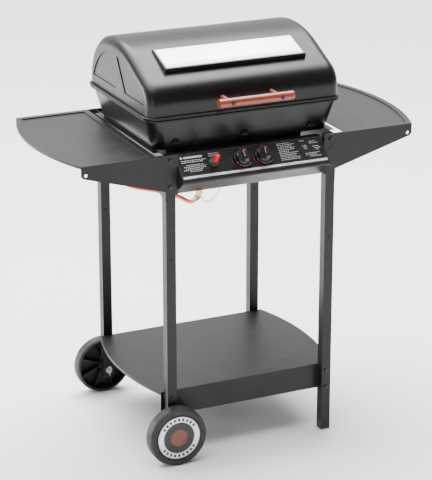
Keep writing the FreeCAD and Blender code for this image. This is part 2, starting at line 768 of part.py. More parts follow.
def make_axles():
    """A headed bolt through each wheel and its leg, with washers and a split pin."""
    face = half_depth + S["wheel_gap"] + S["wheel_width"] - S["wheel_dish"]
    inner = half_depth - leg
    bolts, washers, pins = [], [], []
    for _, sy in ENDS:
        axle = (-leg_x, S["wheel_radius"])
        head_low = sy * (face - pocket_depth + 0.2)
        head = rod("y", S["axle_head_radius"], head_low,
                   sy * (face - pocket_depth + 0.2 + S["axle_head_height"]), *axle)
        shank = rod("y", S["axle_radius"], head_low, sy * (inner - 12), *axle)
        cross = rod("z", S["pin_radius"] + 0.2, S["wheel_radius"] - 8, S["wheel_radius"] + 8,
                    -leg_x, sy * (inner - 7))
        bolts.append(cut(fuse(head, shank), cross))
        for start, end in ((half_depth, half_depth + S["wheel_gap"] + 1.4), (inner - 2, inner)):
            disc = rod("y", S["washer_radius"], sy * start, sy * end, *axle)
            hole = rod("y", S["axle_radius"] + 0.05, sy * (start - 1), sy * (end + 1), *axle)
            washers.append(cut(disc, hole))
        legs_of_pin = rod("z", S["pin_radius"], S["wheel_radius"] - 13, S["wheel_radius"] + 7,
                          -leg_x, sy * (inner - 7))
        eye = doc.addObject("Part::Torus", fresh("Eye"))
        bind(eye, "Radius1", as_size(3))
        bind(eye, "Radius2", S["pin_radius"])
        place(eye, -leg_x, sy * (inner - 7), S["wheel_radius"] + 9.5, Rotation(Vector(1, 0, 0), 90))
        pins.append(fuse(legs_of_pin, eye))
    node("wheel_bolts", group(*bolts))
    node("washers_and_pins", group(*washers, *pins))


# ---------------------------------------------------------------- bowl


def wall_at(height, rim, ledge):
    """A half size of the bowl's tapering wall at a height."""
    rise = (height - ledge_height) / (S["rim_height"] - ledge_height)
    return ledge + (rim - ledge) * rise


ledge_height = S["rail_top"] + gap


def tub(inset, floor_lift, top_lift):
    """The solid inside the bowl's wall, drawn in by inset: tapering box, ledge and sump."""
    ledge = ledge_height + floor_lift
    top = S["rim_height"] + top_lift
    radius = S["corner_radius"] - inset
    upper = loft(
        outline("XY", ledge, rounded(wall_at(ledge, S["bowl_rim_x"], S["bowl_ledge_x"]) - inset,
                                     wall_at(ledge, S["bowl_rim_y"], S["bowl_ledge_y"]) - inset,
                                     radius)),
        outline("XY", top, rounded(wall_at(top, S["bowl_rim_x"], S["bowl_ledge_x"]) - inset,
                                   wall_at(top, S["bowl_rim_y"], S["bowl_ledge_y"]) - inset,
                                   radius)))
    x, y, lean = S["sump_x"] - inset, S["sump_y"] - inset, S["sump_taper"]
    lower = loft(
        outline("XY", S["sump_bottom"] + floor_lift, rounded(x - lean, y - lean, radius - lean)),
        outline("XY", ledge + 1, rounded(x, y, radius)))
    return fuse(upper, lower)


def rim_bead(half_x, half_y, low, wall):
    """A rolled bead round a rim, with its outer edges rounded."""
    over = S["rim_overhang"]
    high = low + S["rim_bead"]
    outer = prism("XY", low, high, rounded(half_x + over, half_y + over, S["corner_radius"] + over))
    soft = rounded_edges(outer, 2.6, lambda edge: edge.BoundBox.ZLength < 0.01)
    inner = prism("XY", low - 1, high + 1,
                  rounded(half_x - wall, half_y - wall, S["corner_radius"] - wall))
    return cut(soft, inner)


def make_bowl():
    """The enamelled bowl, with its rim bead, front vents and the holes for gas and ignition."""
    t = sheet_wall
    shell = cut(tub(0, as_size(0), as_size(0)), tub(t, t, as_size(1)))
    bead = rim_bead(wall_at(S["rim_height"], S["bowl_rim_x"], S["bowl_ledge_x"]),
                    wall_at(S["rim_height"], S["bowl_rim_y"], S["bowl_ledge_y"]),
                    S["rim_height"] - S["rim_bead"], t)
    hoods, holes = [], []
    r, low = S["vent_radius"], S["vent_height"]
    wall_y = -wall_at(low, S["bowl_rim_y"], S["bowl_ledge_y"])
    for k in (-1, 0, 1):
        x = k * S["vent_spacing"]
        dome = cut(ball(r, x, wall_y, low), ball(r - t, x, wall_y, low))
        keep = block((x - r - 1, x + r + 1), (wall_y - r - 1, wall_y - 1), (low, low + r + 1))
        front = common(dome, keep)
        hoods.append(front)
        holes.append(block((x - r + 4, x + r - 4), (wall_y - 6, wall_y + 6), (low + 1, low + 6)))
    for sx in (-1, 1):
        side_x = sx * wall_at(as_size(858), S["bowl_rim_x"], S["bowl_ledge_x"])
        holes.append(rod("x", 2.5, side_x - 6, side_x + 6, 76, 858))
        holes.append(rod("y", S["burner_radius"] + 1, -S["sump_y"] - 10, -S["sump_y"] + 20,
                         sx * S["knob_spacing"] / 2, S["burner_height"]))
    holes.append(rod("z", S["drain_radius"], S["sump_bottom"] - 5, S["sump_bottom"] + 5, 0, 40))
    holes.append(rod("z", 4.2, S["sump_bottom"] - 5, S["sump_bottom"] + 5,
                     electrode_x, -electrode_reach))
    node("bowl", cut(fuse(shell, bead, *hoods), *holes))


electrode_x = -S["burner_spacing"] / 2 - 22
electrode_reach = as_size(118)


def make_drip_cup():
    """The grease cup under the drain hole, hung by its rim in a wire ring under the sump."""
    x, y = as_size(0), as_size(40)
    top = S["sump_bottom"] - 9
    height, radius = as_size(38), as_size(30)
    outer = rod("z", radius, top - height, top, x, y)
    inner = rod("z", radius - 1, top - height + 1, top + 1, x, y)
    lip = cut(rod("z", radius + 5, top - 1.5, top, x, y), rod("z", radius - 1, top - 3, top + 1, x, y))
    node("grease_cup", cut(fuse(outer, lip), inner))
    ring = doc.addObject("Part::Torus", fresh("Ring"))
    bind(ring, "Radius1", radius + 2.4)
    bind(ring, "Radius2", as_size(1.5))
    place(ring, x, y, top - 1.5 - 1.5 - 0.2)
    arms = []
    for sx in (-1, 1):
        arm_x = sx * (radius + 8.5)
        bar = rod("z", 1.5, top - 3.2, S["sump_bottom"], arm_x, y)
        link = rod("x", 1.5, sx * (radius + 2.4), arm_x, y, top - 3.2)
        knee = ball(1.5, arm_x, y, top - 3.2)
        pad = rod("z", 6, S["sump_bottom"] - 1.2, S["sump_bottom"], arm_x, y)
        arms += [bar, link, knee, pad]
    node("cup_hanger", fuse(ring, *arms))


def make_cooking_grate():
    """The wire cooking grate, wedged in the taper of the bowl below its rim."""
    z, wire, thin = S["grate_height"], S["grate_wire"], S["grate_rod"]
    seat = z - wire
    x = wall_at(seat, S["bowl_rim_x"], S["bowl_ledge_x"]) - sheet_wall * 1.05 - gap - wire
    y = wall_at(seat, S["bowl_rim_y"], S["bowl_ledge_y"]) - sheet_wall * 1.05 - gap - wire
    inset = S["corner_radius"] * 0.72
    pieces = []
    for _, s in SIDES:
        pieces.append(rod("x", wire, inset - x, x - inset, s * y, z))
        pieces.append(rod("y", wire, inset - y, y - inset, s * x, z))
    for sx in (-1, 1):
        for sy in (-1, 1):
            pieces.append(corner_wire(sx, sy, x, y, inset, z, wire))
            pieces.append(ball(wire, sx * x, sy * (y - inset), z))
            pieces.append(ball(wire, sx * (x - inset), sy * y, z))
    for k in (-1, 0, 1):
        pieces.append(rod("x", thin * 1.2, -x, x, k * (y * 0.55), z))
    count = int(S["grate_rods"].value)
    pitch = (x - inset - 4) * 2 / (count - 1)
    for k in range(count):
        rod_x = (inset + 4 - x) + k * pitch
        pieces.append(rod("y", thin, -y, y, rod_x, z + wire + thin * 0.5))
    node("cooking_grate", fuse(*pieces))


def corner_wire(sx, sy, x, y, inset, z, wire):
    """A slanting wire across one corner of the grate."""
    obj = doc.addObject("Part::Cylinder", fresh("Corner"))
    bind(obj, "Radius", wire)
    bind(obj, "Height", inset * math.sqrt(2))
    turn = Rotation(Vector(0, 0, 1), Vector(-sx, sy, 0))
    return place(obj, sx * x, sy * (y - inset), z, turn)


def make_lava_grate():
    """The slatted grate for the lava rocks, lying on the bowl's ledge."""
    low = ledge_height + sheet_wall + gap
    high = low + S["lava_bar_height"]
    x = wall_at(low, S["bowl_rim_x"], S["bowl_ledge_x"]) - sheet_wall - 3
    y = wall_at(low, S["bowl_rim_y"], S["bowl_ledge_y"]) - sheet_wall - 3
    inset = S["corner_radius"] * 0.8
    half = S["lava_bar"] / 2
    bars = []
    count = int(S["lava_bars"].value)
    pitch = (x - inset) * 2 / (count - 1)
    for k in range(count):
        bar_x = (inset - x) + k * pitch
        bars.append(block((bar_x - half, bar_x + half), (-y, y), (low, high)))
    for sy in (-1, 0, 1):
        cross_y = sy * (y * 0.8)
        bars.append(block((inset - x, x - inset), (cross_y - half, cross_y + half),
                          (low, high - 2)))
    node("lava_grate", fuse(*bars))
    return high, x - inset, y, pitch


ROCK_RING = 2 / math.sqrt(5)


def rock_solid(seed, radius):
    """An uneven twenty-sided stone round the origin."""
    corners = [Vector(0, 0, 1), Vector(0, 0, -1)]
    for k in range(10):
        angle = math.radians(36 * k)
        high = 0.447 if k % 2 == 0 else -0.447
        corners.append(Vector(ROCK_RING * math.cos(angle), ROCK_RING * math.sin(angle), high))
    rough = []
    for k, corner in enumerate(corners):
        wobble = 0.5 + 0.5 * math.sin(12.9898 * (seed + 1) + 4.1414 * k * (seed % 7 + 1))
        rough.append(corner * (radius * (0.78 + 0.3 * wobble)))
    faces = []
    for k in range(10):
        after, third = (k + 1) % 10, (k + 2) % 10
        faces.append((2 + k, 2 + after, 2 + third))
        faces.append((0 if k % 2 == 0 else 1, 2 + k, 2 + third))
    shell = Part.Shell([
        Part.Face(Part.makePolygon([rough[a], rough[b], rough[c], rough[a]]))
        for a, b, c in faces])
    return Part.Solid(shell)


def make_rocks(top, half_x, half_y, bar_pitch):
    """One layer of loose lava rocks, each standing on a bar of the lava grate."""
    size = S["rock_size"].value
    step = math.ceil(size * 2.16 / bar_pitch.value) * bar_pitch.value
    columns = 1 + 2 * int(half_x.value // step)
    row_step = size * 2.2
    rows = 1 + 2 * int((half_y.value - size) // row_step)
    rocks = []
    for i in range(columns):
        for j in range(rows):
            rock = rock_solid(i * rows + j, size)
            rock.rotate(Vector(0, 0, 0), Vector(0, 0, 1), 47 * (i + 2 * j))
            lift = top.value + gap.value - rock.BoundBox.ZMin
            rock.translate(Vector((i - (columns - 1) / 2) * step, (j - (rows - 1) / 2) * row_step,
                                  lift))
            rocks.append(rock)
    stones = doc.addObject("Part::Feature", "Stones")
    stones.Shape = Part.makeCompound(rocks)
    node("lava_rocks", stones)


# ---------------------------------------------------------------- gas train

SLOPE = Rotation(Vector(1, 0, 0), S["panel_tilt"].value)
tilt_sin, tilt_cos = sine(S["panel_tilt"]), cosine(S["panel_tilt"])


def face_point(drop, lift=0):
    """Y and Z of the point that lies drop down the sloping face and lift in front of it."""
    y = -S["panel_top_y"] - tilt_cos * drop - tilt_sin * lift
    z = S["panel_top_z"] - tilt_sin * drop + tilt_cos * lift
    return y, z


def on_face(obj, x, drop=None, lift=0):
    """Place an object built round its own Z axis on the panel's face, its Z axis outwards."""
    y, z = face_point(S["control_drop"] if drop is None else drop, lift)
    return place(obj, x, y, z, SLOPE)


def face_rod(radius, low, high, x, drop=None):
    obj = doc.addObject("Part::Cylinder", fresh("FaceRod"))
    low, high = ordered(low, high)
    bind(obj, "Radius", radius)
    bind(obj, "Height", high - low)
    return on_face(obj, x, drop, low)


def make_panel():
    """The folded control panel between the front legs: sloping face, nose, lower band, ends."""
    t = sheet_wall
    nose_y, nose_z = face_point(S["panel_face"])
    back = -(half_depth - leg) + 14

    def section(inset, back_y):
        top_y, top_z = -S["panel_top_y"], S["panel_top_z"]
        low_y, low_z = -S["panel_lip_y"], S["panel_lip_z"]
        shift = inset * 1.42
        return [
            (back_y, top_z - inset), (top_y, top_z - inset), (nose_y + shift, nose_z),
            (low_y, low_z + inset), (back_y, low_z + inset),
        ]

    wide = S["panel_half_width"]
    outer = prism("YZ", -wide, wide, section(as_size(0), back))

    def is_nose(edge):
        box = edge.BoundBox
        return box.XLength > 100 and abs(box.Center.z - nose_z.value) < 0.01

    rounded_outer = rounded_edges(outer, S["panel_nose"].value, is_nose)
    hollow = prism("YZ", t - wide, wide - t, section(t, back + 1))
    inner = rounded_edges(hollow, (S["panel_nose"] - t).value, is_nose)
    ears = []
    for sx in (-1, 1):
        ears.append(block((sx * (wide - t), sx * (half_width - leg - gap)),
                          (-half_depth + 2, back - 2),
                          (S["panel_lip_z"] + 4, S["panel_top_z"] - 12)))
    holes = [face_rod(S["stem_radius"] + 2, -6, 4, sx * S["knob_spacing"] / 2) for sx in (-1, 1)]
    holes.append(face_rod(S["bezel_radius"] - 3, -6, 4, -S["igniter_offset"]))
    for sx in (-1, 1):
        for height in rail_bolt_heights():
            holes.append(rod("x", S["nut_radius"] + 1.2, sx * (wide - 3), sx * (half_width - leg + 1),
                             -leg_y, height))
    holes.append(rod("z", 11, S["panel_lip_z"] - 3, S["panel_lip_z"] + 4,
                     -S["fitting_x"], -S["fitting_y"]))
    node("control_panel", cut(fuse(cut(rounded_outer, inner), *ears), *holes))
    plate = doc.addObject("Part::Box", fresh("Plate"))
    margin = as_size(4)
    bind(plate, "Length", (wide - margin) * 2)
    bind(plate, "Width", S["label_length"])
    bind(plate, "Height", S["plate_thickness"])
    on_face(plate, margin - wide, S["label_margin"] + S["label_length"], 0)
    openings = [face_rod(S["stem_radius"] + 2, -6, 4, sx * S["knob_spacing"] / 2) for sx in (-1, 1)]
    openings.append(face_rod(S["bezel_radius"] + gap, -6, 4, -S["igniter_offset"]))
    node("printed_plate", cut(plate, *openings))
    strip = doc.addObject("Part::Box", fresh("Strip"))
    bind(strip, "Length", (wide - margin) * 2)
    bind(strip, "Width", S["strip_width"])
    bind(strip, "Height", S["plate_thickness"])
    node("trim_strip", on_face(strip, margin - wide, S["strip_drop"] + S["strip_width"], 0))


def make_knob(side, sx):
    """A knob with a skirt, a round body and a raised grip, pressed on its spindle."""
    r, body = S["knob_radius"], S["knob_body_radius"]
    shaft = S["stem_radius"]
    skirt, height = S["knob_skirt"], S["knob_height"]
    round_body = turned([
        (shaft, 0), (r, 0), (r, skirt - 2), (r - 2, skirt), (body + 0.6, skirt),
        (body - 1.5, height - 1.5), (body - 3.5, height), (shaft, height)])
    grip = doc.addObject("Part::Box", fresh("Grip"))
    bind(grip, "Length", S["knob_grip_width"])
    bind(grip, "Width", body * 2)
    bind(grip, "Height", S["knob_grip_height"] - 2)
    place(grip, S["knob_grip_width"] / -2, -body, 2)
    limit = turned([
        (0, 1), (body + 0.5, 1), (body - 2.5, height + 1), (body - 6, S["knob_grip_height"] - 1),
        (body - 8, S["knob_grip_height"]), (0, S["knob_grip_height"])])
    bore = doc.addObject("Part::Cylinder", fresh("Bore"))
    bind(bore, "Radius", shaft)
    bind(bore, "Height", height - 3)
    knob = cut(fuse(round_body, common(grip, limit)), bore)
    on_face(knob, sx * S["knob_spacing"] / 2, None, S["knob_lift"])
    node(f"{side}_knob", knob)


def make_valve(side, sx):
    """A gas valve on the manifold, its spindle, and the collar that slides with the spindle."""
    x = sx * S["knob_spacing"] / 2
    collar_low = -6.5
    top = -12
    body = face_rod(S["valve_radius"], -S["manifold_depth"] + 3, top, x)
    hex_cap = face_rod(S["valve_radius"] + 2, top - 5, top, x)
    outlet_front, _ = face_point(S["control_drop"], -16)
    outlet = rod("y", 4, outlet_front, -burner_mouth - 1, x, S["burner_height"])
    bore = face_rod(S["stem_radius"] + S["stem_clearance"], -34, top + 1, x)
    my, mz = face_point(S["control_drop"], -S["manifold_depth"])
    pipe = rod("x", S["manifold_radius"], x - 20, x + 20, my, mz)
    node(f"{side}_valve", cut(fuse(body, hex_cap, outlet), bore, pipe))
    stem_top = S["knob_lift"] + S["knob_height"] - 3.2
    node(f"{side}_spindle", face_rod(S["stem_radius"], -30, stem_top, x))
    ring = face_rod(S["valve_radius"] - 3, collar_low - 1.5, collar_low, x)
    hole = face_rod(S["stem_radius"] + S["stem_clearance"], collar_low - 2.5, collar_low + 1, x)
    node(f"{side}_collar", cut(ring, hole))


burner_mouth = as_size(184)


def make_burner(side, sx):
    """A tube burner: inlet, cross tube and a ported main tube on two feet."""
    r, z = S["burner_radius"], S["burner_height"]
    inlet_x = sx * S["knob_spacing"] / 2
    main_x = sx * S["burner_spacing"] / 2
    front = -S["burner_front"]
    rear = front + S["burner_length"]
    tubes = [rod("y", r, -burner_mouth, front, inlet_x, z), rod("x", r, inlet_x, main_x, front, z),
             rod("y", r, front, rear, main_x, z), ball(r, inlet_x, front, z), ball(r, main_x, front, z)]
    floor = S["sump_bottom"] + sheet_wall + gap
    feet = [block((main_x - 9, main_x + 9), (y - 1.5, y + 1.5), (floor, z)) for y in (front + 40, rear - 20)]
    mouth = rod("y", r - 1.2, -burner_mouth - 1, front, inlet_x, z)
    ports = []
    for k in range(9):
        y = front + 30 + k * 24
        ports.append(block((main_x - r - 1, main_x + r + 1), (y - 1, y + 1), (z + 3, z + 6)))
    node(f"{side}_burner", cut(fuse(*tubes, *feet), mouth, *ports))


def make_manifold():
    """The gas manifold behind the panel, with the elbow down to the hose fitting."""
    my, mz = face_point(S["control_drop"], -S["manifold_depth"])
    x = -S["fitting_x"]
    y = -S["fitting_y"]
    r = S["manifold_radius"]
    right = S["knob_spacing"] / 2 + 22
    pipe = rod("x", r, x, right, my, mz)
    bend = rod("y", r, my, y, x, mz)
    drop = rod("z", r - 1, S["fitting_bottom"] + 20, mz, x, y)
    posts = []
    for s in (-1, 1):
        post_x = s * S["post_spread"] - 18
        low = S["panel_lip_z"] + sheet_wall + gap
        posts.append(block((post_x - 6, post_x + 6), (my - 3, my + 3), (low, mz)))
    pieces = [pipe, bend, drop, ball(r, x, my, mz), ball(r, x, y, mz)]
    node("gas_manifold", fuse(*pieces, *posts))


def make_fitting():
    """The brass union under the manifold and the crimped tail that holds the hose."""
    x, y, low = -S["fitting_x"], -S["fitting_y"], S["fitting_bottom"]
    nut = doc.addObject("Part::Prism", fresh("Union"))
    nut.Polygon = 6
    bind(nut, "Circumradius", as_size(9))
    bind(nut, "Height", as_size(14))
    place(nut, x, y, low + 5)
    neck = rod("z", 6, low, low + 20, x, y)
    elbow = ball(6, x, y, low)
    node("hose_union", cut(fuse(nut, neck, elbow), rod("z", 5, low + 6, low + 21, x, y)))
    crimp = doc.addObject("Part::Feature", "Crimp")
    elbow_centre = Vector(x.value, y.value, low.value)
    axis = (HOSE[0] - elbow_centre).normalize()
    start = elbow_centre + axis * 6.3
    sleeve = Part.makeCylinder(6.8, (HOSE[0] - start).Length, start, axis)
    rings = [Part.makeCylinder(7.5, 3, start + axis * along, axis) for along in (4, 11)]
    crimp.Shape = sleeve.fuse(rings).removeSplitter()
    node("hose_crimp", crimp)


def make_igniter():
    """The piezo igniter in the panel, its sprung button, nut and electrode."""
    x = -S["igniter_offset"]
    r = S["bezel_radius"]
    bore = S["button_radius"] + S["stem_clearance"]
    bezel = face_rod(r, 0, 3, x)
    collar = face_rod(r - 2.5, 3, S["bezel_height"], x)
    barrel = face_rod(r - 3.3, -30, 0, x)
    hole = face_rod(bore, -14, S["bezel_height"] + 1, x)
    terminal = face_rod(2.5, -35, -30, x)
    nut = face_rod(r, -sheet_wall - 5 - gap, -sheet_wall - gap, x)
    node("igniter_body", cut(fuse(bezel, collar, barrel, terminal, nut), hole))
    node("igniter_button", face_rod(S["button_radius"], -5, S["button_height"], x))
    ceramic = rod("z", 4, S["sump_bottom"] - 9, S["sump_bottom"] + 20, electrode_x, -electrode_reach)
    collar = rod("z", 7, S["sump_bottom"] - 3.3, S["sump_bottom"] - gap, electrode_x, -electrode_reach)
    tip = rod("z", 1.2, S["sump_bottom"] + 20, S["sump_bottom"] + 34, electrode_x, -electrode_reach)
    node("electrode", fuse(ceramic, collar, tip))


# ---------------------------------------------------------------- cords

# Route of the gas hose from the crimp to its stowed loop, then of the tail to its connector.
HOSE = [
    Vector(-124, -168.8, 658.6), Vector(-124, -147.8, 643.4), Vector(-124, -122, 637.4),
    Vector(-125.5, -94, 636.6), Vector(-132, -63, 636.4), Vector(-145, -32, 636),
    Vector(-164, -1, 635.8), Vector(-185, 25, 635.5), Vector(-203, 50, 635.2),
    Vector(-208.6, 80, 635), Vector(-208.6, 100, 635),
]
# Route of the ignition lead from the igniter's terminal to the electrode.
LEAD = [
    Vector(-104, -206.9, 740.8), Vector(-103.5, -209, 732), Vector(-101, -209, 721),
    Vector(-95, -205, 712), Vector(-84, -196, 704), Vector(-71, -188, 696),
    Vector(-65, -186, 684), Vector(-73, -186, 670), Vector(-85, -186, 659),
    Vector(-96, -186, 651.8), Vector(-106, -184, 652), Vector(-111.5, -178, 660),
    Vector(-112.5, -170, 673), Vector(-114, -160, 688), Vector(-116, -148, 700),
    Vector(-116, -134, 705.5), Vector(-117, -122, 711), Vector(-117, -118, 719.6),
]


def tube_path(points):
    """Straight runs joined by tangent arcs, as large as the two runs at each point allow."""
    edges, at, radii = [], points[0], []
    for before, corner, after in zip(points, points[1:], points[2:]):
        run_in, run_out = corner - before, after - corner
        turn = run_in.getAngle(run_out)
        setback = 0.45 * min(run_in.Length, run_out.Length)
        radii.append(setback / math.tan(turn / 2))
        start = corner - run_in.normalize() * setback
        end = corner + run_out.normalize() * setback
        middle = start + (end - start) * 0.5
        bulge = radii[-1] / math.cos(turn / 2) - radii[-1]
        inward = (middle - corner).normalize()
        edges.append(Part.LineSegment(at, start).toShape())
        edges.append(Part.Arc(start, corner + inward * bulge, end).toShape())
        at = end
    edges.append(Part.LineSegment(at, points[-1]).toShape())
    return Part.Wire(edges), radii


def tube(name, points, radius):
    """A round tube swept along tube_path, checked against its section times its length."""
    wire, radii = tube_path(points)
    first = wire.Edges[0]
    heading = first.tangentAt(first.FirstParameter)
    circle = Part.Wire(Part.makeCircle(radius, points[0], heading))
    solid = wire.makePipeShell([circle], True, True)
    length = sum(edge.Length for edge in wire.Edges)
    expected = math.pi * radius ** 2 * length
    print(f"{name}: length {length:.1f}, smallest radius {min(radii):.1f},"
          f" radii {[round(r) for r in radii]}, volume ratio {solid.Volume / expected:.4f}")
    obj = doc.addObject("Part::Feature", fresh("Tube"))
    obj.Shape = solid
    return node(name, obj)


def coil_point(turns, shift):
    """A point of the stowed loop, turns after its lowest point, shifted along X."""
    angle = 2 * math.pi * turns
    r = S["coil_radius"].value
    return Vector(-S["coil_x"].value + shift, S["coil_y"].value + r * math.sin(angle),
                  S["coil_z"].value - r * math.cos(angle))


def make_hose():
    """The gas hose, its stowed loop, its tail and the connector at its end."""
    radius = S["hose_radius"]
    tube("gas_hose", HOSE, radius.value)
    half = S["coil_width"] / 2
    r, cr = S["coil_radius"], S["hose_radius"]
    loop = cut(rod("x", r + cr, -S["coil_x"] - half, -S["coil_x"] + half, S["coil_y"], S["coil_z"]),
               rod("x", r - cr, -S["coil_x"] - half - 1, -S["coil_x"] + half + 1,
                   S["coil_y"], S["coil_z"]))
    node("hose_loop", loop)
    leave = coil_point(0.19, -5)
    heading = Vector(0, math.cos(2 * math.pi * 0.19), math.sin(2 * math.pi * 0.19))
    step = heading * 17
    tail = [leave + step * 0.62, leave + step * 1.7 + Vector(1.6, 0, 0),
            leave + step * 2.9 + Vector(2.8, 0.6, 0)]
    tube("hose_tail", tail, radius.value)
    axis = (tail[2] - tail[1]).normalize()
    connector = Part.makeCylinder(7, 14, tail[2], axis)
    union_nut = Part.makeCylinder(9.5, 13, tail[2] + axis * 14, axis)
    bore = Part.makeCylinder(6, 9, tail[2] + axis * 18, axis)
    end = doc.addObject("Part::Feature", "HoseEnd")
    end.Shape = connector.fuse(union_nut).cut(bore)
    node("hose_connector", end)


def make_hose_hook():
    """The hook on the left side rail that carries the stowed hose loop."""
    face = -half_width
    y, z = S["coil_y"], S["coil_z"] + S["coil_radius"] - S["hose_radius"] - gap
    pin_r = as_size(4)
    end = -S["coil_x"] + S["coil_width"] / 2 + 2.5
    plate = block((face, face + 1.6), (y - 9, y + 9), (z - 16, z + 6))
    pin = rod("x", pin_r, face, end, y, z - pin_r)
    lip = block((end - 1.5, end + 1.5), (y - 3.4, y + 3.4), (z - pin_r - 3.4, z + 5))
    node("hose_hook", fuse(plate, pin, lip))


# ---------------------------------------------------------------- lid


def lid_section(inset):
    """The lid's section in the YZ plane, drawn in by inset, from its lower front corner."""
    d = S["lid_half_depth"]
    rc, rs, rb = S["crown_radius"], S["front_radius"], S["back_radius"]
    slope_sin, slope_cos = sine(S["front_slope"]), cosine(S["front_slope"])
    crown_y, crown_z = S["crown_offset"], S["lid_top"] - rc
    front_y = rs - d
    front_z = crown_z + (rc - rs + (front_y - crown_y) * slope_sin) / slope_cos
    back_y = d - rb
    rise = root((rc - rb) * (rc - rb) - (back_y - crown_y) * (back_y - crown_y))
    back_z = crown_z + rise
    r_front, r_crown, r_back = rs - inset, rc - inset, rb - inset
    share = r_crown / (rc - rb)
    base = lid_base - (1 if as_size(inset).value > 0 else 0)
    return [
        (d - inset, base), (d - inset, back_z, r_back, "left"),
        (crown_y + (back_y - crown_y) * share, crown_z + rise * share, r_crown, "left"),
        (crown_y - r_crown * slope_sin, crown_z + r_crown * slope_cos),
        (front_y - r_front * slope_sin, front_z + r_front * slope_cos, r_front, "left"),
        (inset - d, front_z), (inset - d, base),
    ]


lid_base = S["rim_height"] + gap


def lid_solid(inset):
    """The lid as a solid block drawn in by inset, with its end edges rounded."""
    wide = S["lid_half_width"] - inset
    raw = prism("YZ", -wide, wide, lid_section(inset))
    floor = lid_base.value + 0.5

    def at_end(edge):
        box = edge.BoundBox
        return box.XLength < 0.01 and box.ZMax > floor

    return rounded_edges(raw, S["lid_corner"].value - inset.value, at_end)


REAR_EMBOSS = ((168, 907), (72, 988), (14, 907))
FRONT_EMBOSS = ((10, 990), (-160, 908), (-42, 908))


def emboss(sx, corners, radius, grow, depth):
    """A pressed panel in a lid end: two straight sides and one arc, grown and deepened."""
    base = S["lid_half_width"]
    middle = [sum(c[k] for c in corners) / 3 for k in (0, 1)]
    path = []
    for y, z in corners:
        scale = 1 + grow.value / 40
        path.append((middle[0] + (y - middle[0]) * scale, middle[1] + (z - middle[1]) * scale))
    first = path[0] + (as_size(radius), "left")
    shape = [first, path[1], path[2]]
    return prism("YZ", sx * (base - depth), sx * (base + 1), shape)


def make_lid():
    """The lid shell, with pressed end panels, a rolled rim and the opening under the window."""
    t = sheet_wall
    outer, inner = lid_solid(as_size(0)), lid_solid(t)
    outer_cuts, inner_cuts = [], []
    for sx in (-1, 1):
        for corners, radius in ((REAR_EMBOSS, 150), (FRONT_EMBOSS, 260)):
            outer_cuts.append(emboss(sx, corners, radius, as_size(0), S["emboss_depth"]))
            inner_cuts.append(emboss(sx, corners, radius, t, S["emboss_depth"] + t))
    shell = cut(cut(outer, *outer_cuts), cut(inner, *inner_cuts))
    bead = rim_bead(S["lid_half_width"], S["lid_half_depth"], lid_base, t)
    opening = window_block(S["window_half_width"] - S["window_ledge"] - 3,
                           S["window_half_length"] - S["window_ledge"] - 3, -60, 20)
    screws = [rod("y", 2.6, -S["lid_half_depth"] - 5, -S["lid_half_depth"] + 12,
                  s * S["handle_screw_spacing"] / 2, S["handle_height"]) for s in (-1, 1)]
    node("lid", cut(fuse(shell, bead), opening, *screws))
    make_window()


def window_block(half_x, half_y, low, high):
    """A box square to the window's glass, measured from the middle of the glass's top."""
    obj = doc.addObject("Part::Box", fresh("Pane"))
    tilt = S["window_tilt"]
    low, high = ordered(low, high)
    bind(obj, "Length", half_x * 2)
    bind(obj, "Width", half_y * 2)
    bind(obj, "Height", high - low)
    y = -S["window_back"] - cosine(tilt) * half_y - sine(tilt) * low
    z = S["window_height"] - sine(tilt) * half_y + cosine(tilt) * low
    return place(obj, -half_x, y, z, Rotation(Vector(1, 0, 0), tilt.value))


def make_window():
    """The window's raised frame, fitted to the lid's curve, and its glass."""
    wide, long = S["window_half_width"], S["window_half_length"]
    border, ledge = S["window_border"], S["window_ledge"]
    outer = window_block(wide, long, -45, 0)
    through = window_block(wide - ledge, long - ledge, -50, 5)
    seat = window_block(wide - border, long - border, -S["glass_thickness"] - 0.1, 5)
    node("window_frame", cut(outer, through, seat, lid_solid(as_size(0))))
    node("window_glass", window_block(wide - border - 0.2, long - border - 0.2,
                                      -S["glass_thickness"], -0.4))


def make_handle():
    """The wooden bar, two spacers and two screws that hold it to the lid's front."""
    x0, r, y, z = S["handle_length"] / 2, S["handle_radius"], -S["handle_reach"], S["handle_height"]
    spread = S["handle_screw_spacing"] / 2
    bar = rod("x", r, -x0, x0, y, z)
    doc.recompute()
    soft = rounded_edges(bar, 1.6, lambda e: e.BoundBox.XLength < 0.01)
    holes = [rod("y", 2.6, y - r - 1, y + r + 1, s * spread, z) for s in (-1, 1)]
    sinks = [rod("y", 5.2, y - r - 1, y - r + 2.2, s * spread, z) for s in (-1, 1)]
    node("handle_bar", cut(soft, *holes, *sinks))
    lid_face = -S["lid_half_depth"]
    spacers, screws = [], []
    for s in (-1, 1):
        tube_outer = rod("y", S["spacer_radius"], y, lid_face + 3, s * spread, z)
        tube_inner = rod("y", 2.6, y - 1, lid_face + 4, s * spread, z)
        spacers.append(cut(tube_outer, tube_inner, rod("x", r, -x0, x0, y, z), lid_solid(as_size(0))))
        head = rod("y", 5, y - r + 0.2, y - r + 2.2, s * spread, z)
        shank = rod("y", 2.4, y - r + 0.2, lid_face + 14, s * spread, z)
        nut = rod("y", 5, lid_face + 3.4, lid_face + 8, s * spread, z)
        screws.append(fuse(head, shank, nut))
    node("handle_spacers", group(*spacers))
    node("handle_screws", group(*screws))


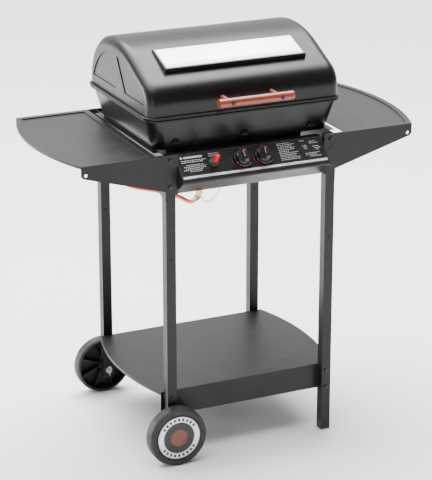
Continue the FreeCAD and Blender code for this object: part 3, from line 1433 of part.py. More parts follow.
def make_hinges():
    """Two rear hinges: leaves on the lid, ear brackets on the bowl and headed pins."""
    y, z = S["hinge_reach"], S["hinge_height"]
    half = S["hinge_leaf_width"] / 2
    r, pin = S["knuckle_radius"], S["hinge_pin_radius"]
    back, t = S["lid_half_depth"], as_size(2)
    bead_top = lid_base + S["rim_bead"] + 0.5
    bead_edge = back + S["rim_overhang"]
    ear = S["hinge_ear"]
    leaves, brackets, pins = [], [], []
    for s in (-1, 1):
        x = s * S["hinge_spacing"] / 2
        arm = prism("YZ", x - half, x + half, [
            (back, bead_top + 0.2), (bead_edge + 0.6, bead_top), (y, z), (y + 2, z + r - 0.5),
            (back + t, bead_top + 6), (back + t, bead_top + 28), (back, bead_top + 28)])
        knuckle = rod("x", r, x - half, x + half, y, z)
        bore = rod("x", pin + S["hinge_clearance"], x - half - 1, x + half + 1, y, z)
        leaves.append(cut(fuse(arm, knuckle), bore, lid_solid(as_size(0))))
        low_z = S["rim_height"] - 34
        ears = []
        for e in (-1, 1):
            inner_x = x + e * (half + gap)
            shape = prism("YZ", inner_x, inner_x + e * ear, [
                (S["bowl_rim_y"] - 14, low_z), (S["bowl_rim_y"] + 2, low_z), (y + r, z - 2),
                (y + r, z + r - 1), (y + r - 2, z + r), (bead_edge + 4, z + r),
                (bead_edge + 1, z + 3), (bead_edge + 1, low_z + 20),
                (S["bowl_rim_y"] - 8, low_z + 20)])
            ears.append(cut(shape, rod("x", pin, inner_x - 5, inner_x + 5, y, z)))
        bridge = block((x - half - gap - ear, x + half + gap + ear),
                       (S["bowl_rim_y"] - 14, S["bowl_rim_y"] - 1), (low_z, low_z + 3))
        brackets.append(cut(fuse(*ears, bridge), tub(0, as_size(0), as_size(1))))
        reach = half + gap + ear
        shank = rod("x", pin, x - reach, x + reach, y, z)
        heads = [rod("x", pin + 1.5, x + e * reach, x + e * (reach + 2), y, z) for e in (-1, 1)]
        pins.append(fuse(shank, *heads))
    node("lid_hinge_leaves", group(*leaves))
    node("bowl_hinge_brackets", group(*brackets))
    node("hinge_pins", group(*pins))


# ---------------------------------------------------------------- build and write


def build():
    make_frame()
    for side, sx in SIDES:
        make_rail(side, sx)
        make_table(side, sx)
    node("frame_bolts", group(*rail_bolts(), *table_bolts(), *make_shelf()))
    for end, sy in ENDS:
        make_wheel(end, sy)
        make_badge(end, sy)
    make_axles()
    make_bowl()
    make_drip_cup()
    make_cooking_grate()
    make_rocks(*make_lava_grate())
    make_panel()
    for side, sx in SIDES:
        make_knob(side, sx)
        make_valve(side, sx)
        make_burner(side, sx)
    make_manifold()
    make_fitting()
    make_igniter()
    make_hose()
    make_hose_hook()
    tube("ignition_lead", LEAD, S["lead_radius"].value)
    make_lid()
    make_handle()
    make_hinges()


def check():
    """Stop if any object failed, or a sub-part's shape is missing or broken."""
    faults = [f"{o.Name} ({o.Label}): {o.State}" for o in doc.Objects
              if {"Invalid", "Error"} & set(o.State)]
    for obj in NODES:
        if obj.Shape.isNull() or not obj.Shape.isValid() or not obj.Shape.Solids:
            faults.append(f"{obj.Label}: shape null, invalid or without a solid")
    if faults:
        raise RuntimeError("\n".join(faults))


def write():
    os.makedirs("parts", exist_ok=True)
    for obj in NODES:
        obj.Shape.exportStep(f"parts/{obj.Label}.step")
    print(f"{len(NODES)} nodes written")


build()
doc.recompute()
check()
write()
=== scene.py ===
import math
import random

import bmesh
import bpy
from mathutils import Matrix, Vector


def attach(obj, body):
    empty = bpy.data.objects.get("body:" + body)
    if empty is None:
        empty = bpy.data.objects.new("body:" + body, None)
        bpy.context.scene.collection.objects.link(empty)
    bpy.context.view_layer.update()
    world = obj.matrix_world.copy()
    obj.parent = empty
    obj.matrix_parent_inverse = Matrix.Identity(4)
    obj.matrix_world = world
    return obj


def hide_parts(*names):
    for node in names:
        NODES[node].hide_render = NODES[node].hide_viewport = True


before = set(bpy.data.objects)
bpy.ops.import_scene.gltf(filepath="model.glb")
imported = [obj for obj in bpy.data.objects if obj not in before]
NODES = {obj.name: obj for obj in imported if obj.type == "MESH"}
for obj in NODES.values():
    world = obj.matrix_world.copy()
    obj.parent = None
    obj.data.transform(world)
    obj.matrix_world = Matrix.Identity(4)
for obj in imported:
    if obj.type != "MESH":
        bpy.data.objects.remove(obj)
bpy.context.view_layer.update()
MM = 0.001

# Places and sizes that the CAD also has, in millimetres.
PANEL_TOP_Y, PANEL_TOP_Z = -208.5, 790.5    # top edge of the control panel's 45 degree slope
KNOB_X, KNOB_DROP = 28.5, 34                # a knob's place beside the middle and down the slope
PLATE_INSIDE = 0.42                         # lift just under the printed plate's 0.5 mm face
SKIRT_FACE, GRIP_FACE = 9.2, 28.2           # lifts of the top of a knob's skirt and of its grip
AXLE_X, AXLE_Z = -215.5, 75                 # the wheels' axle, parallel to Y
WHEEL_NEAR, WHEEL_FAR = 234.0, 269.0        # a wheel's inner and outer side, from the middle
BADGE_FACE = 268.9                          # outer face of a wheel's badge, from the middle
COIL_X, COIL_Y, COIL_Z = -213.6, 100, 690   # middle of the hose's stowed loop
COIL_RADIUS = 55
COIL_TURNS, COIL_END = 1.19, 0.19           # its length, and its end on the circle, in turns
COIL_SHIFT = 5                              # the loop's turns lie this far off its middle plane


# ---------------------------------------------------------------- finishes

class Finish:
    """A node material. Its patterns are measured in metres on the object."""

    MIX_AMOUNT, MIX_A, MIX_B, MIX_RESULT = 0, 6, 7, 2    # the Mix node's colour sockets

    def __init__(self, name, **sockets):
        self.material = bpy.data.materials.new(name)
        self.material.use_nodes = True
        self.tree = self.material.node_tree
        self.shader = self.tree.nodes["Principled BSDF"]
        for socket, value in sockets.items():
            self.shader.inputs[socket.replace("_", " ")].default_value = value
        self.where = self.add("ShaderNodeTexCoord").outputs["Object"]

    def add(self, kind, settings=(), **inputs):
        """A new node, with its own settings and its inputs' values or links."""
        node = self.tree.nodes.new(kind)
        for key, value in dict(settings).items():
            setattr(node, key, value)
        for key, value in inputs.items():
            self.feed(node.inputs[key.replace("_", " ")], value)
        return node

    def feed(self, socket, value):
        """Links a socket to another node's output, or gives it a plain value."""
        if isinstance(value, bpy.types.NodeSocket):
            self.tree.links.new(value, socket)
        else:
            socket.default_value = value

    def stretched(self, x, y, z):
        return self.add("ShaderNodeMapping", Vector=self.where, Scale=(x, y, z)).outputs["Vector"]

    def noise(self, scale, detail=3.0, rough=0.5, where=None):
        node = self.add("ShaderNodeTexNoise", Vector=where or self.where, Scale=scale,
                        Detail=detail, Roughness=rough)
        return node.outputs["Fac"]

    def math(self, operation, a, b):
        node = self.add("ShaderNodeMath", {"operation": operation})
        self.feed(node.inputs[0], a)
        self.feed(node.inputs[1], b)
        return node.outputs["Value"]

    def span(self, value, low, high, to_low=0.0, to_high=1.0):
        """The range low to high of a value, spread over to_low to to_high."""
        node = self.add("ShaderNodeMapRange", Value=value)
        for key, number in (("From Min", low), ("From Max", high), ("To Min", to_low),
                            ("To Max", to_high)):
            node.inputs[key].default_value = number
        return node.outputs["Result"]

    def mix(self, amount, a, b):
        node = self.add("ShaderNodeMix", {"data_type": "RGBA"})
        self.feed(node.inputs[self.MIX_AMOUNT], amount)
        self.feed(node.inputs[self.MIX_A], a)
        self.feed(node.inputs[self.MIX_B], b)
        return node.outputs[self.MIX_RESULT]

    def colour(self, value):
        self.feed(self.shader.inputs["Base Color"], value)

    def roughness(self, value):
        self.feed(self.shader.inputs["Roughness"], value)

    def relief(self, height, distance, strength, round_edge=0.0):
        """A bump from a pattern, over edges that look rounded by round_edge metres."""
        node = self.add("ShaderNodeBump", Height=height, Distance=distance, Strength=strength)
        if round_edge:
            soft = self.add("ShaderNodeBevel", {"samples": 4}, Radius=round_edge)
            self.tree.links.new(soft.outputs["Normal"], node.inputs["Normal"])
        self.tree.links.new(node.outputs["Normal"], self.shader.inputs["Normal"])

    def edge_mask(self, radius):
        """1 along the sharp edges of a piece, 0 on its faces."""
        soft = self.add("ShaderNodeBevel", {"samples": 4}, Radius=radius)
        true = self.add("ShaderNodeNewGeometry").outputs["Normal"]
        dot = self.add("ShaderNodeVectorMath", {"operation": "DOT_PRODUCT"})
        self.tree.links.new(soft.outputs["Normal"], dot.inputs[0])
        self.tree.links.new(true, dot.inputs[1])
        turned_away = self.math("SUBTRACT", 1.0, dot.outputs["Value"])
        return self.span(turned_away, 0.02, 0.25)


def rgb(r, g, b):
    return (r, g, b, 1.0)


def enamel(name, dark, pale, smooth, rough, grain, wear_and_highlight, gloss=0.38, round_edge=0.0011):
    """Sprayed and baked enamel: orange peel, faint mottling and paler edges, partly rubbed wear
    and partly painted highlight.
    """
    f = Finish(name, Specular_IOR_Level=gloss)
    mottle = f.noise(9.0, 4.0, 0.6)
    body = f.mix(f.span(mottle, 0.35, 0.7), dark, pale)
    # Paler edges: partly rubbed wear, partly a painted highlight where the edges catch the light.
    if wear_and_highlight:
        wear_and_highlight_mask = f.math("MULTIPLY", f.edge_mask(0.0012), wear_and_highlight)
        body = f.mix(wear_and_highlight_mask, body, rgb(0.09, 0.09, 0.093))
    f.colour(body)
    f.roughness(f.span(f.noise(23.0, 5.0, 0.65), 0.3, 0.7, smooth, rough))
    f.relief(f.noise(grain, 2.0, 0.5), 0.00012, 0.35, round_edge)
    return f.material


def metal(name, colour, tint, smooth, rough, grain, stretch=(1, 1, 1)):
    """Bare or plated metal, tinted in patches, with fine scratches across the stretch."""
    f = Finish(name, Metallic=1.0)
    lines = f.noise(grain, 4.0, 0.6, f.stretched(*stretch))
    f.colour(f.mix(f.span(f.noise(30.0, 4.0), 0.35, 0.7), colour, tint))
    f.roughness(f.span(lines, 0.3, 0.7, smooth, rough))
    f.relief(lines, 0.00005, 0.3, 0.0004)
    return f.material


def plastic(name, dark, pale, smooth, rough, grain, depth=0.00004):
    """Moulded plastic with a fine grain and a slightly uneven gloss."""
    f = Finish(name)
    f.colour(f.mix(f.span(f.noise(40.0, 4.0), 0.35, 0.7), dark, pale))
    f.roughness(f.span(f.noise(70.0, 4.0), 0.3, 0.7, smooth, rough))
    f.relief(f.noise(grain, 3.0, 0.6), depth, 0.4, 0.0007)
    return f.material


def lacquered_wood():
    """Turned reddish wood: long grain, pores and a thin clear lacquer."""
    f = Finish("wood_finish", Coat_Weight=0.35, Coat_Roughness=0.16)
    bend = f.noise(7.0, 3.0, 0.6)
    along = f.stretched(7.0, 120.0, 120.0)
    rings = f.add("ShaderNodeTexWave", {"wave_type": "BANDS", "bands_direction": "Z"},
                  Vector=f.stretched(0.35, 1.0, 1.0), Scale=95.0, Distortion=9.0, Detail=3.0,
                  Detail_Scale=1.6).outputs["Fac"]
    fibre = f.noise(1.0, 6.0, 0.7, along)
    pores = f.span(f.noise(3.2, 3.0, 0.7, along), 0.60, 0.68)
    base = f.mix(rings, rgb(0.20, 0.028, 0.012), rgb(0.28, 0.046, 0.020))
    base = f.mix(f.span(fibre, 0.3, 0.75, 0.0, 0.5), base, rgb(0.12, 0.017, 0.008))
    base = f.mix(f.span(bend, 0.4, 0.75, 0.0, 0.35), base, rgb(0.33, 0.065, 0.03))
    f.colour(f.mix(f.math("MULTIPLY", pores, 0.5), base, rgb(0.07, 0.012, 0.007)))
    f.roughness(f.span(fibre, 0.3, 0.8, 0.30, 0.44))
    f.relief(fibre, 0.00012, 0.35, 0.0008)
    return f.material


def window_finish():
    """Heat-proof glass that mirrors its surroundings, a little darker along its lower edge."""
    f = Finish("window_finish", Metallic=0.82, IOR=1.52, Coat_Weight=0.2, Coat_Roughness=0.02)
    smear = f.noise(6.0, 5.0, 0.6, f.stretched(1.0, 2.4, 2.4))
    depth = f.add("ShaderNodeSeparateXYZ", Vector=f.where).outputs["Y"]
    clear = f.mix(f.span(smear, 0.45, 0.55), rgb(0.40, 0.41, 0.42), rgb(0.52, 0.53, 0.54))
    above_lower_edge = f.span(depth, -0.126, -0.118)
    f.colour(f.mix(above_lower_edge, rgb(0.27, 0.275, 0.28), clear))
    f.roughness(f.span(smear, 0.3, 0.7, 0.035, 0.10))
    f.relief(f.noise(9.0, 2.0, 0.5), 0.0002, 0.05, 0.0004)
    return f.material


def rubber_finish(name, colour, pale):
    """Rubber with fine lengthways moulding lines and a dusty bloom."""
    f = Finish(name)
    bloom = f.noise(55.0, 5.0, 0.65)
    f.colour(f.mix(f.span(bloom, 0.4, 0.75), colour, pale))
    f.roughness(f.span(bloom, 0.3, 0.7, 0.42, 0.62))
    f.relief(f.noise(900.0, 3.0, 0.6), 0.00006, 0.5)
    return f.material


def stone_finish():
    """Porous volcanic stone, with painted shade darkening its pores."""
    f = Finish("stone_finish")
    holes = f.add("ShaderNodeTexVoronoi", Vector=f.where, Scale=260.0).outputs["Distance"]
    lumps = f.noise(80.0, 6.0, 0.7)
    tone = f.mix(f.span(lumps, 0.3, 0.7), rgb(0.09, 0.045, 0.035), rgb(0.24, 0.13, 0.10))
    # painted shade: the pores' hollows are coloured near black
    f.colour(f.mix(f.span(holes, 0.0, 0.35, 1.0, 0.0), tone, rgb(0.03, 0.018, 0.015)))
    f.roughness(f.span(lumps, 0.3, 0.7, 0.85, 0.98))
    f.relief(f.math("ADD", holes, lumps), 0.0012, 0.9)
    return f.material


def plate_finish():
    """Black printed sheet: fine matt grain with faint handling marks."""
    f = Finish("plate_finish", Specular_IOR_Level=0.22)
    marks = f.noise(14.0, 5.0, 0.7, f.stretched(1.0, 3.0, 3.0))
    f.colour(f.mix(f.span(marks, 0.35, 0.7), rgb(0.0045, 0.004, 0.004), rgb(0.008, 0.007, 0.007)))
    f.roughness(f.span(marks, 0.3, 0.7, 0.34, 0.46))
    f.relief(f.noise(1400.0, 2.0), 0.00003, 0.4, 0.0003)
    return f.material


def printed_finish(name, colour, thin):
    """Screen-printed ink, a little thin in places."""
    f = Finish(name)
    f.colour(f.mix(f.span(f.noise(500.0, 3.0), 0.35, 0.7), colour, thin))
    f.roughness(f.span(f.noise(200.0, 2.0), 0.3, 0.7, 0.45, 0.6))
    return f.material


def rust_finish():
    """A glossy rust-red cap with a mottled, brushed look."""
    f = Finish("rust_finish", Coat_Weight=0.3, Coat_Roughness=0.2)
    cloud = f.noise(95.0, 5.0, 0.7)
    f.colour(f.mix(f.span(cloud, 0.35, 0.68), rgb(0.13, 0.026, 0.014), rgb(0.20, 0.045, 0.024)))
    f.roughness(f.span(cloud, 0.3, 0.7, 0.35, 0.5))
    f.relief(cloud, 0.0002, 0.4, 0.0004)
    return f.material


def floor_finish():
    """Pale matt studio floor."""
    f = Finish("floor_finish")
    cloud = f.noise(1.5, 3.0, 0.5)
    f.colour(f.mix(f.span(cloud, 0.35, 0.7), rgb(0.90, 0.90, 0.90), rgb(0.92, 0.92, 0.92)))
    f.roughness(f.span(cloud, 0.3, 0.7, 0.75, 0.9))
    return f.material


FRAME_BLACK = enamel("frame_finish", rgb(0.0070, 0.0062, 0.0057), rgb(0.0105, 0.0094, 0.0087),
                     smooth=0.36, rough=0.46, grain=950.0, wear_and_highlight=0.35, gloss=0.30)
HOOD_BLACK = enamel("hood_finish", rgb(0.0036, 0.0033, 0.0031), rgb(0.0060, 0.0055, 0.0052),
                    smooth=0.27, rough=0.36, grain=620.0, wear_and_highlight=0.0, gloss=0.32, round_edge=0.0)
DARK_BLACK = enamel("dark_finish", rgb(0.003, 0.003, 0.003), rgb(0.005, 0.005, 0.005),
                    smooth=0.32, rough=0.42, grain=800.0, wear_and_highlight=0.2)
ZINC = metal("zinc_finish", rgb(0.60, 0.60, 0.59), rgb(0.48, 0.46, 0.43),
             smooth=0.26, rough=0.42, grain=240.0)
BROWN_BOLT = metal("bolt_finish", rgb(0.040, 0.034, 0.030), rgb(0.065, 0.052, 0.043),
                   smooth=0.4, rough=0.54, grain=300.0)
ALUMINIUM = metal("aluminium_finish", rgb(0.66, 0.67, 0.68), rgb(0.66, 0.67, 0.68),
                  smooth=0.28, rough=0.44, grain=90.0, stretch=(1, 1, 14))
BADGE_SILVER = metal("badge_finish", rgb(0.74, 0.78, 0.83), rgb(0.66, 0.70, 0.76),
                     smooth=0.26, rough=0.38, grain=160.0, stretch=(1, 8, 1))
TRIM_SILVER = metal("trim_finish", rgb(0.80, 0.82, 0.85), rgb(0.56, 0.58, 0.61),
                    smooth=0.22, rough=0.46, grain=46.0, stretch=(5, 1, 9))
STEEL = metal("steel_finish", rgb(0.45, 0.45, 0.44), rgb(0.36, 0.35, 0.33),
              smooth=0.30, rough=0.46, grain=130.0, stretch=(1, 12, 1))
BRASS = metal("brass_finish", rgb(0.72, 0.50, 0.20), rgb(0.60, 0.40, 0.16),
              smooth=0.24, rough=0.38, grain=200.0)
SCREW = enamel("screw_finish", rgb(0.004, 0.004, 0.004), rgb(0.007, 0.007, 0.007),
               smooth=0.4, rough=0.5, grain=900.0, wear_and_highlight=0.1)
KNOB_BLACK = plastic("knob_finish", rgb(0.004, 0.004, 0.004), rgb(0.007, 0.007, 0.007),
                     smooth=0.16, rough=0.28, grain=900.0, depth=0.00002)
BADGE_DARK = plastic("disc_finish", rgb(0.011, 0.010, 0.010), rgb(0.017, 0.016, 0.016),
                     smooth=0.22, rough=0.34, grain=700.0)
TYRE = plastic("tyre_finish", rgb(0.007, 0.007, 0.007), rgb(0.013, 0.013, 0.013),
               smooth=0.46, rough=0.62, grain=650.0, depth=0.00012)
TREAD = plastic("tread_finish", rgb(0.020, 0.019, 0.018), rgb(0.045, 0.042, 0.038),
                smooth=0.34, rough=0.5, grain=650.0, depth=0.00012)
BEZEL_GREY = plastic("bezel_finish", rgb(0.035, 0.035, 0.036), rgb(0.05, 0.05, 0.052),
                     smooth=0.3, rough=0.42, grain=700.0)
CONNECTOR_BLACK = plastic("connector_finish", rgb(0.02, 0.02, 0.021), rgb(0.035, 0.035, 0.036),
                          smooth=0.38, rough=0.5, grain=600.0)
BUTTON_RED = plastic("button_finish", rgb(0.72, 0.003, 0.007), rgb(0.80, 0.006, 0.010),
                     smooth=0.18, rough=0.3, grain=800.0, depth=0.00002)
CERAMIC = plastic("ceramic_finish", rgb(0.82, 0.80, 0.76), rgb(0.88, 0.87, 0.84),
                  smooth=0.14, rough=0.24, grain=500.0, depth=0.00002)
FOOT_BLACK = plastic("foot_finish", rgb(0.02, 0.02, 0.02), rgb(0.035, 0.035, 0.035),
                     smooth=0.5, rough=0.65, grain=600.0, depth=0.00008)
HOSE_ORANGE = rubber_finish("hose_finish", rgb(0.88, 0.060, 0.008), rgb(0.92, 0.10, 0.018))
LEAD_GREY = rubber_finish("lead_finish", rgb(0.20, 0.175, 0.16), rgb(0.30, 0.27, 0.25))
STRAP_BLACK = rubber_finish("strap_finish", rgb(0.02, 0.02, 0.021), rgb(0.04, 0.04, 0.042))
WOOD = lacquered_wood()
WINDOW = window_finish()
STONE = stone_finish()
PLATE = plate_finish()
# Pale print ink, also used for the painted highlight down each knob's grip.
INK_AND_HIGHLIGHT = printed_finish("ink_and_highlight_finish", rgb(0.62, 0.62, 0.63), rgb(0.46, 0.46, 0.47))
RED_INK = printed_finish("red_ink_finish", rgb(0.36, 0.018, 0.015), rgb(0.28, 0.014, 0.012))
MARK_RED = printed_finish("mark_finish", rgb(0.66, 0.03, 0.02), rgb(0.52, 0.02, 0.015))
DARK_INK = printed_finish("dark_ink_finish", rgb(0.02, 0.02, 0.022), rgb(0.035, 0.035, 0.038))
RUST = rust_finish()

FINISHES = {
    FRAME_BLACK: ("front_left_leg", "front_right_leg", "rear_left_leg", "rear_right_leg",
                  "left_side_rail", "right_side_rail", "left_table", "right_table",
                  "bottom_shelf", "control_panel"),
    HOOD_BLACK: ("bowl", "bowl_hinge_brackets", "lid", "lid_hinge_leaves"),
    DARK_BLACK: ("window_frame", "hose_hook"),
    ZINC: ("wheel_bolts", "washers_and_pins", "cup_hanger", "hose_crimp", "hinge_pins"),
    BROWN_BOLT: ("frame_bolts",),
    ALUMINIUM: ("grease_cup", "left_valve", "right_valve", "gas_manifold"),
    STEEL: ("cooking_grate", "lava_grate", "left_burner", "right_burner", "left_collar",
            "right_collar", "left_spindle", "right_spindle"),
    BADGE_SILVER: ("front_wheel_ring", "rear_wheel_ring"),
    TRIM_SILVER: ("trim_strip",),
    BRASS: ("hose_union",),
    SCREW: ("handle_screws",),
    KNOB_BLACK: ("left_knob", "right_knob"),
    BADGE_DARK: ("front_hub_cap", "rear_hub_cap"),
    TYRE: ("front_wheel", "rear_wheel"),
    BEZEL_GREY: ("igniter_body",),
    CONNECTOR_BLACK: ("hose_connector",),
    FOOT_BLACK: ("foot_caps",),
    BUTTON_RED: ("igniter_button",),
    CERAMIC: ("electrode",),
    WOOD: ("handle_bar", "handle_spacers"),
    WINDOW: ("window_glass",),
    STONE: ("lava_rocks",),
    PLATE: ("printed_plate",),
}
for finish, names in FINISHES.items():
    for name in names:
        for slot in NODES[name].material_slots:
            slot.material = finish


# ---------------------------------------------------------------- pieces

def piece(name, bm, finish, body, smooth=True):
    """A new mesh object from bm, riding on a body of the frame."""
    mesh = bpy.data.meshes.new(name)
    bmesh.ops.recalc_face_normals(bm, faces=bm.faces)
    bm.to_mesh(mesh)
    bm.free()
    mesh.materials.append(finish)
    mesh.polygons.foreach_set("use_smooth", [smooth] * len(mesh.polygons))
    made = bpy.data.objects.new(name, mesh)
    bpy.context.scene.collection.objects.link(made)
    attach(made, body)
    return made


def on_face(x, drop, lift):
    """A point on the control panel's slope: down from its top edge, out from its face."""
    c = math.sqrt(0.5)
    return Vector((x, PANEL_TOP_Y - c * (drop + lift), PANEL_TOP_Z + c * (lift - drop))) * MM


def slab(bm, corners, at, low, high):
    """A thin plate over a list of flat corners, between two lifts."""
    bottom = [bm.verts.new(at(u, v, low)) for u, v in corners]
    top = [bm.verts.new(at(u, v, high)) for u, v in corners]
    bm.faces.new(top)
    bm.faces.new(bottom[::-1])
    for k in range(len(corners)):
        n = (k + 1) % len(corners)
        bm.faces.new((bottom[k], bottom[n], top[n], top[k]))


def bar(bm, at, u0, u1, v0, v1, low, high):
    """A small plate whose corners are clipped by a share of its narrow side."""
    c = min(u1 - u0, v1 - v0) * 0.22
    corners = [(u0 + c, v0), (u1 - c, v0), (u1, v0 + c), (u1, v1 - c), (u1 - c, v1),
               (u0 + c, v1), (u0, v1 - c), (u0, v0 + c)]
    slab(bm, corners, at, low, high)


INK_FACE = 0.62    # lift of the dashes' own face


def dashes(bm, dice, drop, start, stop, height, longest):
    """One printed row on the panel: plain dashes of varied length."""
    shortest = 2.4
    x = start
    while x < stop - 2:
        end = min(stop, x + dice.uniform(shortest, longest))
        bar(bm, on_face, x, end, drop - height / 2, drop + height / 2, PLATE_INSIDE, INK_FACE)
        x = end + dice.uniform(1.2, 1.9)


# The printed rows left and right of the knobs: each block's row height, longest dash and rows,
# and each row's drop, start and end.
LEFT_PRINT = (
    (1.7, 8.0, ((20.5, -186, -122), (25.0, -186, -131))),
    (1.5, 6.0, ((33.0, -176, -132), (37.4, -184, -124), (41.8, -180, -128),
                (46.2, -186, -134), (50.6, -170, -140))),
    (1.3, 5.0, ((8.5, -112, -84), (12.4, -112, -90), (16.3, -112, -86))),
)
RIGHT_PRINT = (
    (1.2, 6.0, ((8.0, 134, 150), (12.0, 160, 178), (16.5, 158, 182), (21.5, 138, 150),
                (26.0, 140, 152), (26.0, 164, 184), (30.5, 142, 150), (30.5, 168, 186),
                (35.0, 170, 182), (43.5, 140, 178), (48.0, 140, 170), (52.5, 150, 182))),
)
RAGGED_ROWS, SHORT_ROW = 11, 5    # the rows between them, and the one that ends a paragraph


def make_print():
    """Plain bars and rows of pale dashes on the control plate."""
    dice = random.Random(11)
    bm = bmesh.new()

    def print_blocks(blocks):
        for height, longest, rows in blocks:
            for drop, start, stop in rows:
                dashes(bm, dice, drop, start, stop, height, longest)

    # a plain square and a plain long bar head the print
    bar(bm, on_face, -187, -181, 9, 15, PLATE_INSIDE, INK_FACE)
    bar(bm, on_face, -178, -129, 9.5, 14.5, PLATE_INSIDE, INK_FACE)
    print_blocks(LEFT_PRINT)
    for k in range(RAGGED_ROWS):
        stop = 100 if k == SHORT_ROW else dice.uniform(108, 126)
        dashes(bm, dice, drop=8 + 4.5 * k, start=72, stop=stop, height=1.2, longest=6.5)
    print_blocks(RIGHT_PRINT)
    piece("plate_print", bm, INK_AND_HIGHLIGHT, "trolley", smooth=False)


def sector(centre, inner, outer, start, end, steps, thin=1.0):
    """Flat corners of a ring's arc round a centre, in degrees, thinning towards its end."""
    rim, back = [], []
    for k in range(steps + 1):
        t = k / steps
        a = math.radians(start + (end - start) * t)
        width = (outer - inner) * (1 + (thin - 1) * t)
        rim.append((centre[0] + math.cos(a) * (inner + width),
                    centre[1] - math.sin(a) * (inner + width)))
        back.append((centre[0] + math.cos(a) * inner, centre[1] - math.sin(a) * inner))
    return rim + back[::-1]


def strip(bm, corners, at, low, high):
    """A thin plate over a bent strip, made of one four-sided plate per step."""
    half = len(corners) // 2
    for k in range(half - 1):
        quad = [corners[k], corners[k + 1], corners[-k - 2], corners[-k - 1]]
        slab(bm, quad, at, low, high)


def make_dials():
    """A tapering red arc beside each knob, with round dots at its ends."""
    bm = bmesh.new()
    face = 0.64
    inner, outer, dot_way, dot_radius, dot_sides = 26.0, 28.1, 27, 0.9, 10
    for x in (-KNOB_X, KNOB_X):
        arc = sector((x, KNOB_DROP), inner, outer, start=180, end=285, steps=20, thin=0.35)
        strip(bm, arc, on_face, PLATE_INSIDE, face)
        for angle in (172, 96, 84):
            a = math.radians(angle)
            spot = (x + math.cos(a) * dot_way, KNOB_DROP - math.sin(a) * dot_way)
            ring = [(spot[0] + math.cos(k * 2 * math.pi / dot_sides) * dot_radius,
                     spot[1] + math.sin(k * 2 * math.pi / dot_sides) * dot_radius)
                    for k in range(dot_sides)]
            slab(bm, ring, on_face, PLATE_INSIDE, face)
    piece("dial_print", bm, RED_INK, "trolley", smooth=False)


def make_knob_mark(side, sx):
    """A red pointer on the upper edge of a knob's skirt and along its grip."""
    bm = bmesh.new()
    x = KNOB_X * sx
    bar(bm, on_face, x - 1.5, x + 1.5, 10.2, 13.2, SKIRT_FACE - 0.1, SKIRT_FACE + 0.2)
    bar(bm, on_face, x - 1.1, x + 1.1, 23.0, 27.6, GRIP_FACE - 0.1, GRIP_FACE + 0.15)
    piece(f"{side}_knob_mark", bm, MARK_RED, f"{side}_knob", smooth=False)


def make_knob_painted_highlight(side, sx):
    """A thin pale painted highlight down the left edge of a knob's grip."""
    bm = bmesh.new()
    x = KNOB_X * sx
    # painted highlight: a pale strip where the grip's edge catches the light
    bar(bm, on_face, x - 4.4, x - 3.7, 24.5, 42.0, GRIP_FACE - 0.1, GRIP_FACE + 0.1)
    piece(f"{side}_knob_painted_highlight", bm, INK_AND_HIGHLIGHT, f"{side}_knob", smooth=False)


def round_wheel(sy):
    """Places a point by its angle, radius and distance from the wheel's middle plane."""
    def at(angle, radius, y):
        return Vector((AXLE_X + math.cos(angle) * radius, y * sy,
                       AXLE_Z + math.sin(angle) * radius)) * MM
    return at


def block_grid(bm, at, a0, a1, profile, depth):
    """A raised tread block: a curved pad whose section follows the profile."""
    steps = 2
    outer, inner = [], []
    for k in range(steps + 1):
        a = a0 + (a1 - a0) * k / steps
        outer.append([bm.verts.new(at(a, radius, y)) for radius, y in profile])
        inner.append([bm.verts.new(at(a, radius - depth, y)) for radius, y in profile])
    n = len(profile)
    for k in range(steps):
        for j in range(n - 1):
            bm.faces.new((outer[k][j], outer[k + 1][j], outer[k + 1][j + 1], outer[k][j + 1]))
        for j in (0, n - 1):
            bm.faces.new((outer[k][j], inner[k][j], inner[k + 1][j], outer[k + 1][j]))
    for k in (0, steps):
        for j in range(n - 1):
            bm.faces.new((outer[k][j], outer[k][j + 1], inner[k][j + 1], inner[k][j]))


def make_tread(end, sy):
    """Four rows of small tread blocks round a tyre and over its shoulders."""
    bm = bmesh.new()
    at = round_wheel(sy)
    crown, bend, shoulder, depth = 76.0, 75.9, 72.4, 1.6
    near, far = WHEEL_NEAR, WHEEL_FAR
    rows = (
        [(shoulder, near + 0.6), (bend, near + 4.2), (crown, near + 8.0)],
        [(crown, near + 9.6), (crown, near + 16.6)],
        [(crown, near + 18.4), (crown, near + 25.4)],
        [(crown, far - 8.0), (bend, far - 4.2), (shoulder, far - 0.6)],
    )
    middle_rows = (1, 2)
    count, filled = 72, 0.58
    step = 2 * math.pi / count
    for k in range(count):
        for row, profile in enumerate(rows):
            start = step * (k + (0.5 if row in middle_rows else 0.0))
            block_grid(bm, at, start, start + step * filled, profile, depth)
    piece(f"{end}_tread", bm, TREAD, f"{end}_wheel", smooth=False)


def revolve(bm, at, profile, steps):
    """A turned shape from (radius, distance) pairs, closed where the radius is 0."""
    rings = []
    for radius, y in profile:
        if radius == 0:
            rings.append([bm.verts.new(at(0, 0, y))])
        else:
            rings.append([bm.verts.new(at(2 * math.pi * k / steps, radius, y))
                          for k in range(steps)])
    for low, high in zip(rings, rings[1:]):
        for k in range(steps):
            n = (k + 1) % steps
            if len(high) == 1:
                bm.faces.new((low[k], low[n], high[0]))
            elif len(low) == 1:
                bm.faces.new((low[0], high[n], high[k]))
            else:
                bm.faces.new((low[k], low[n], high[n], high[k]))


def make_cap(end, sy):
    """A plain domed rust-red cap in the middle of a wheel's dark disc."""
    bm = bmesh.new()
    face = BADGE_FACE
    revolve(bm, round_wheel(sy), [(0, face - 0.3), (23.0, face - 0.3), (23.0, face + 0.3),
                                  (22.2, face + 0.8), (20.0, face + 1.0), (17.5, face + 0.6),
                                  (16.5, face + 0.7), (10.0, face + 1.5), (5.0, face + 1.8),
                                  (0, face + 1.9)], steps=72)
    piece(f"{end}_emblem", bm, RUST, f"{end}_wheel")


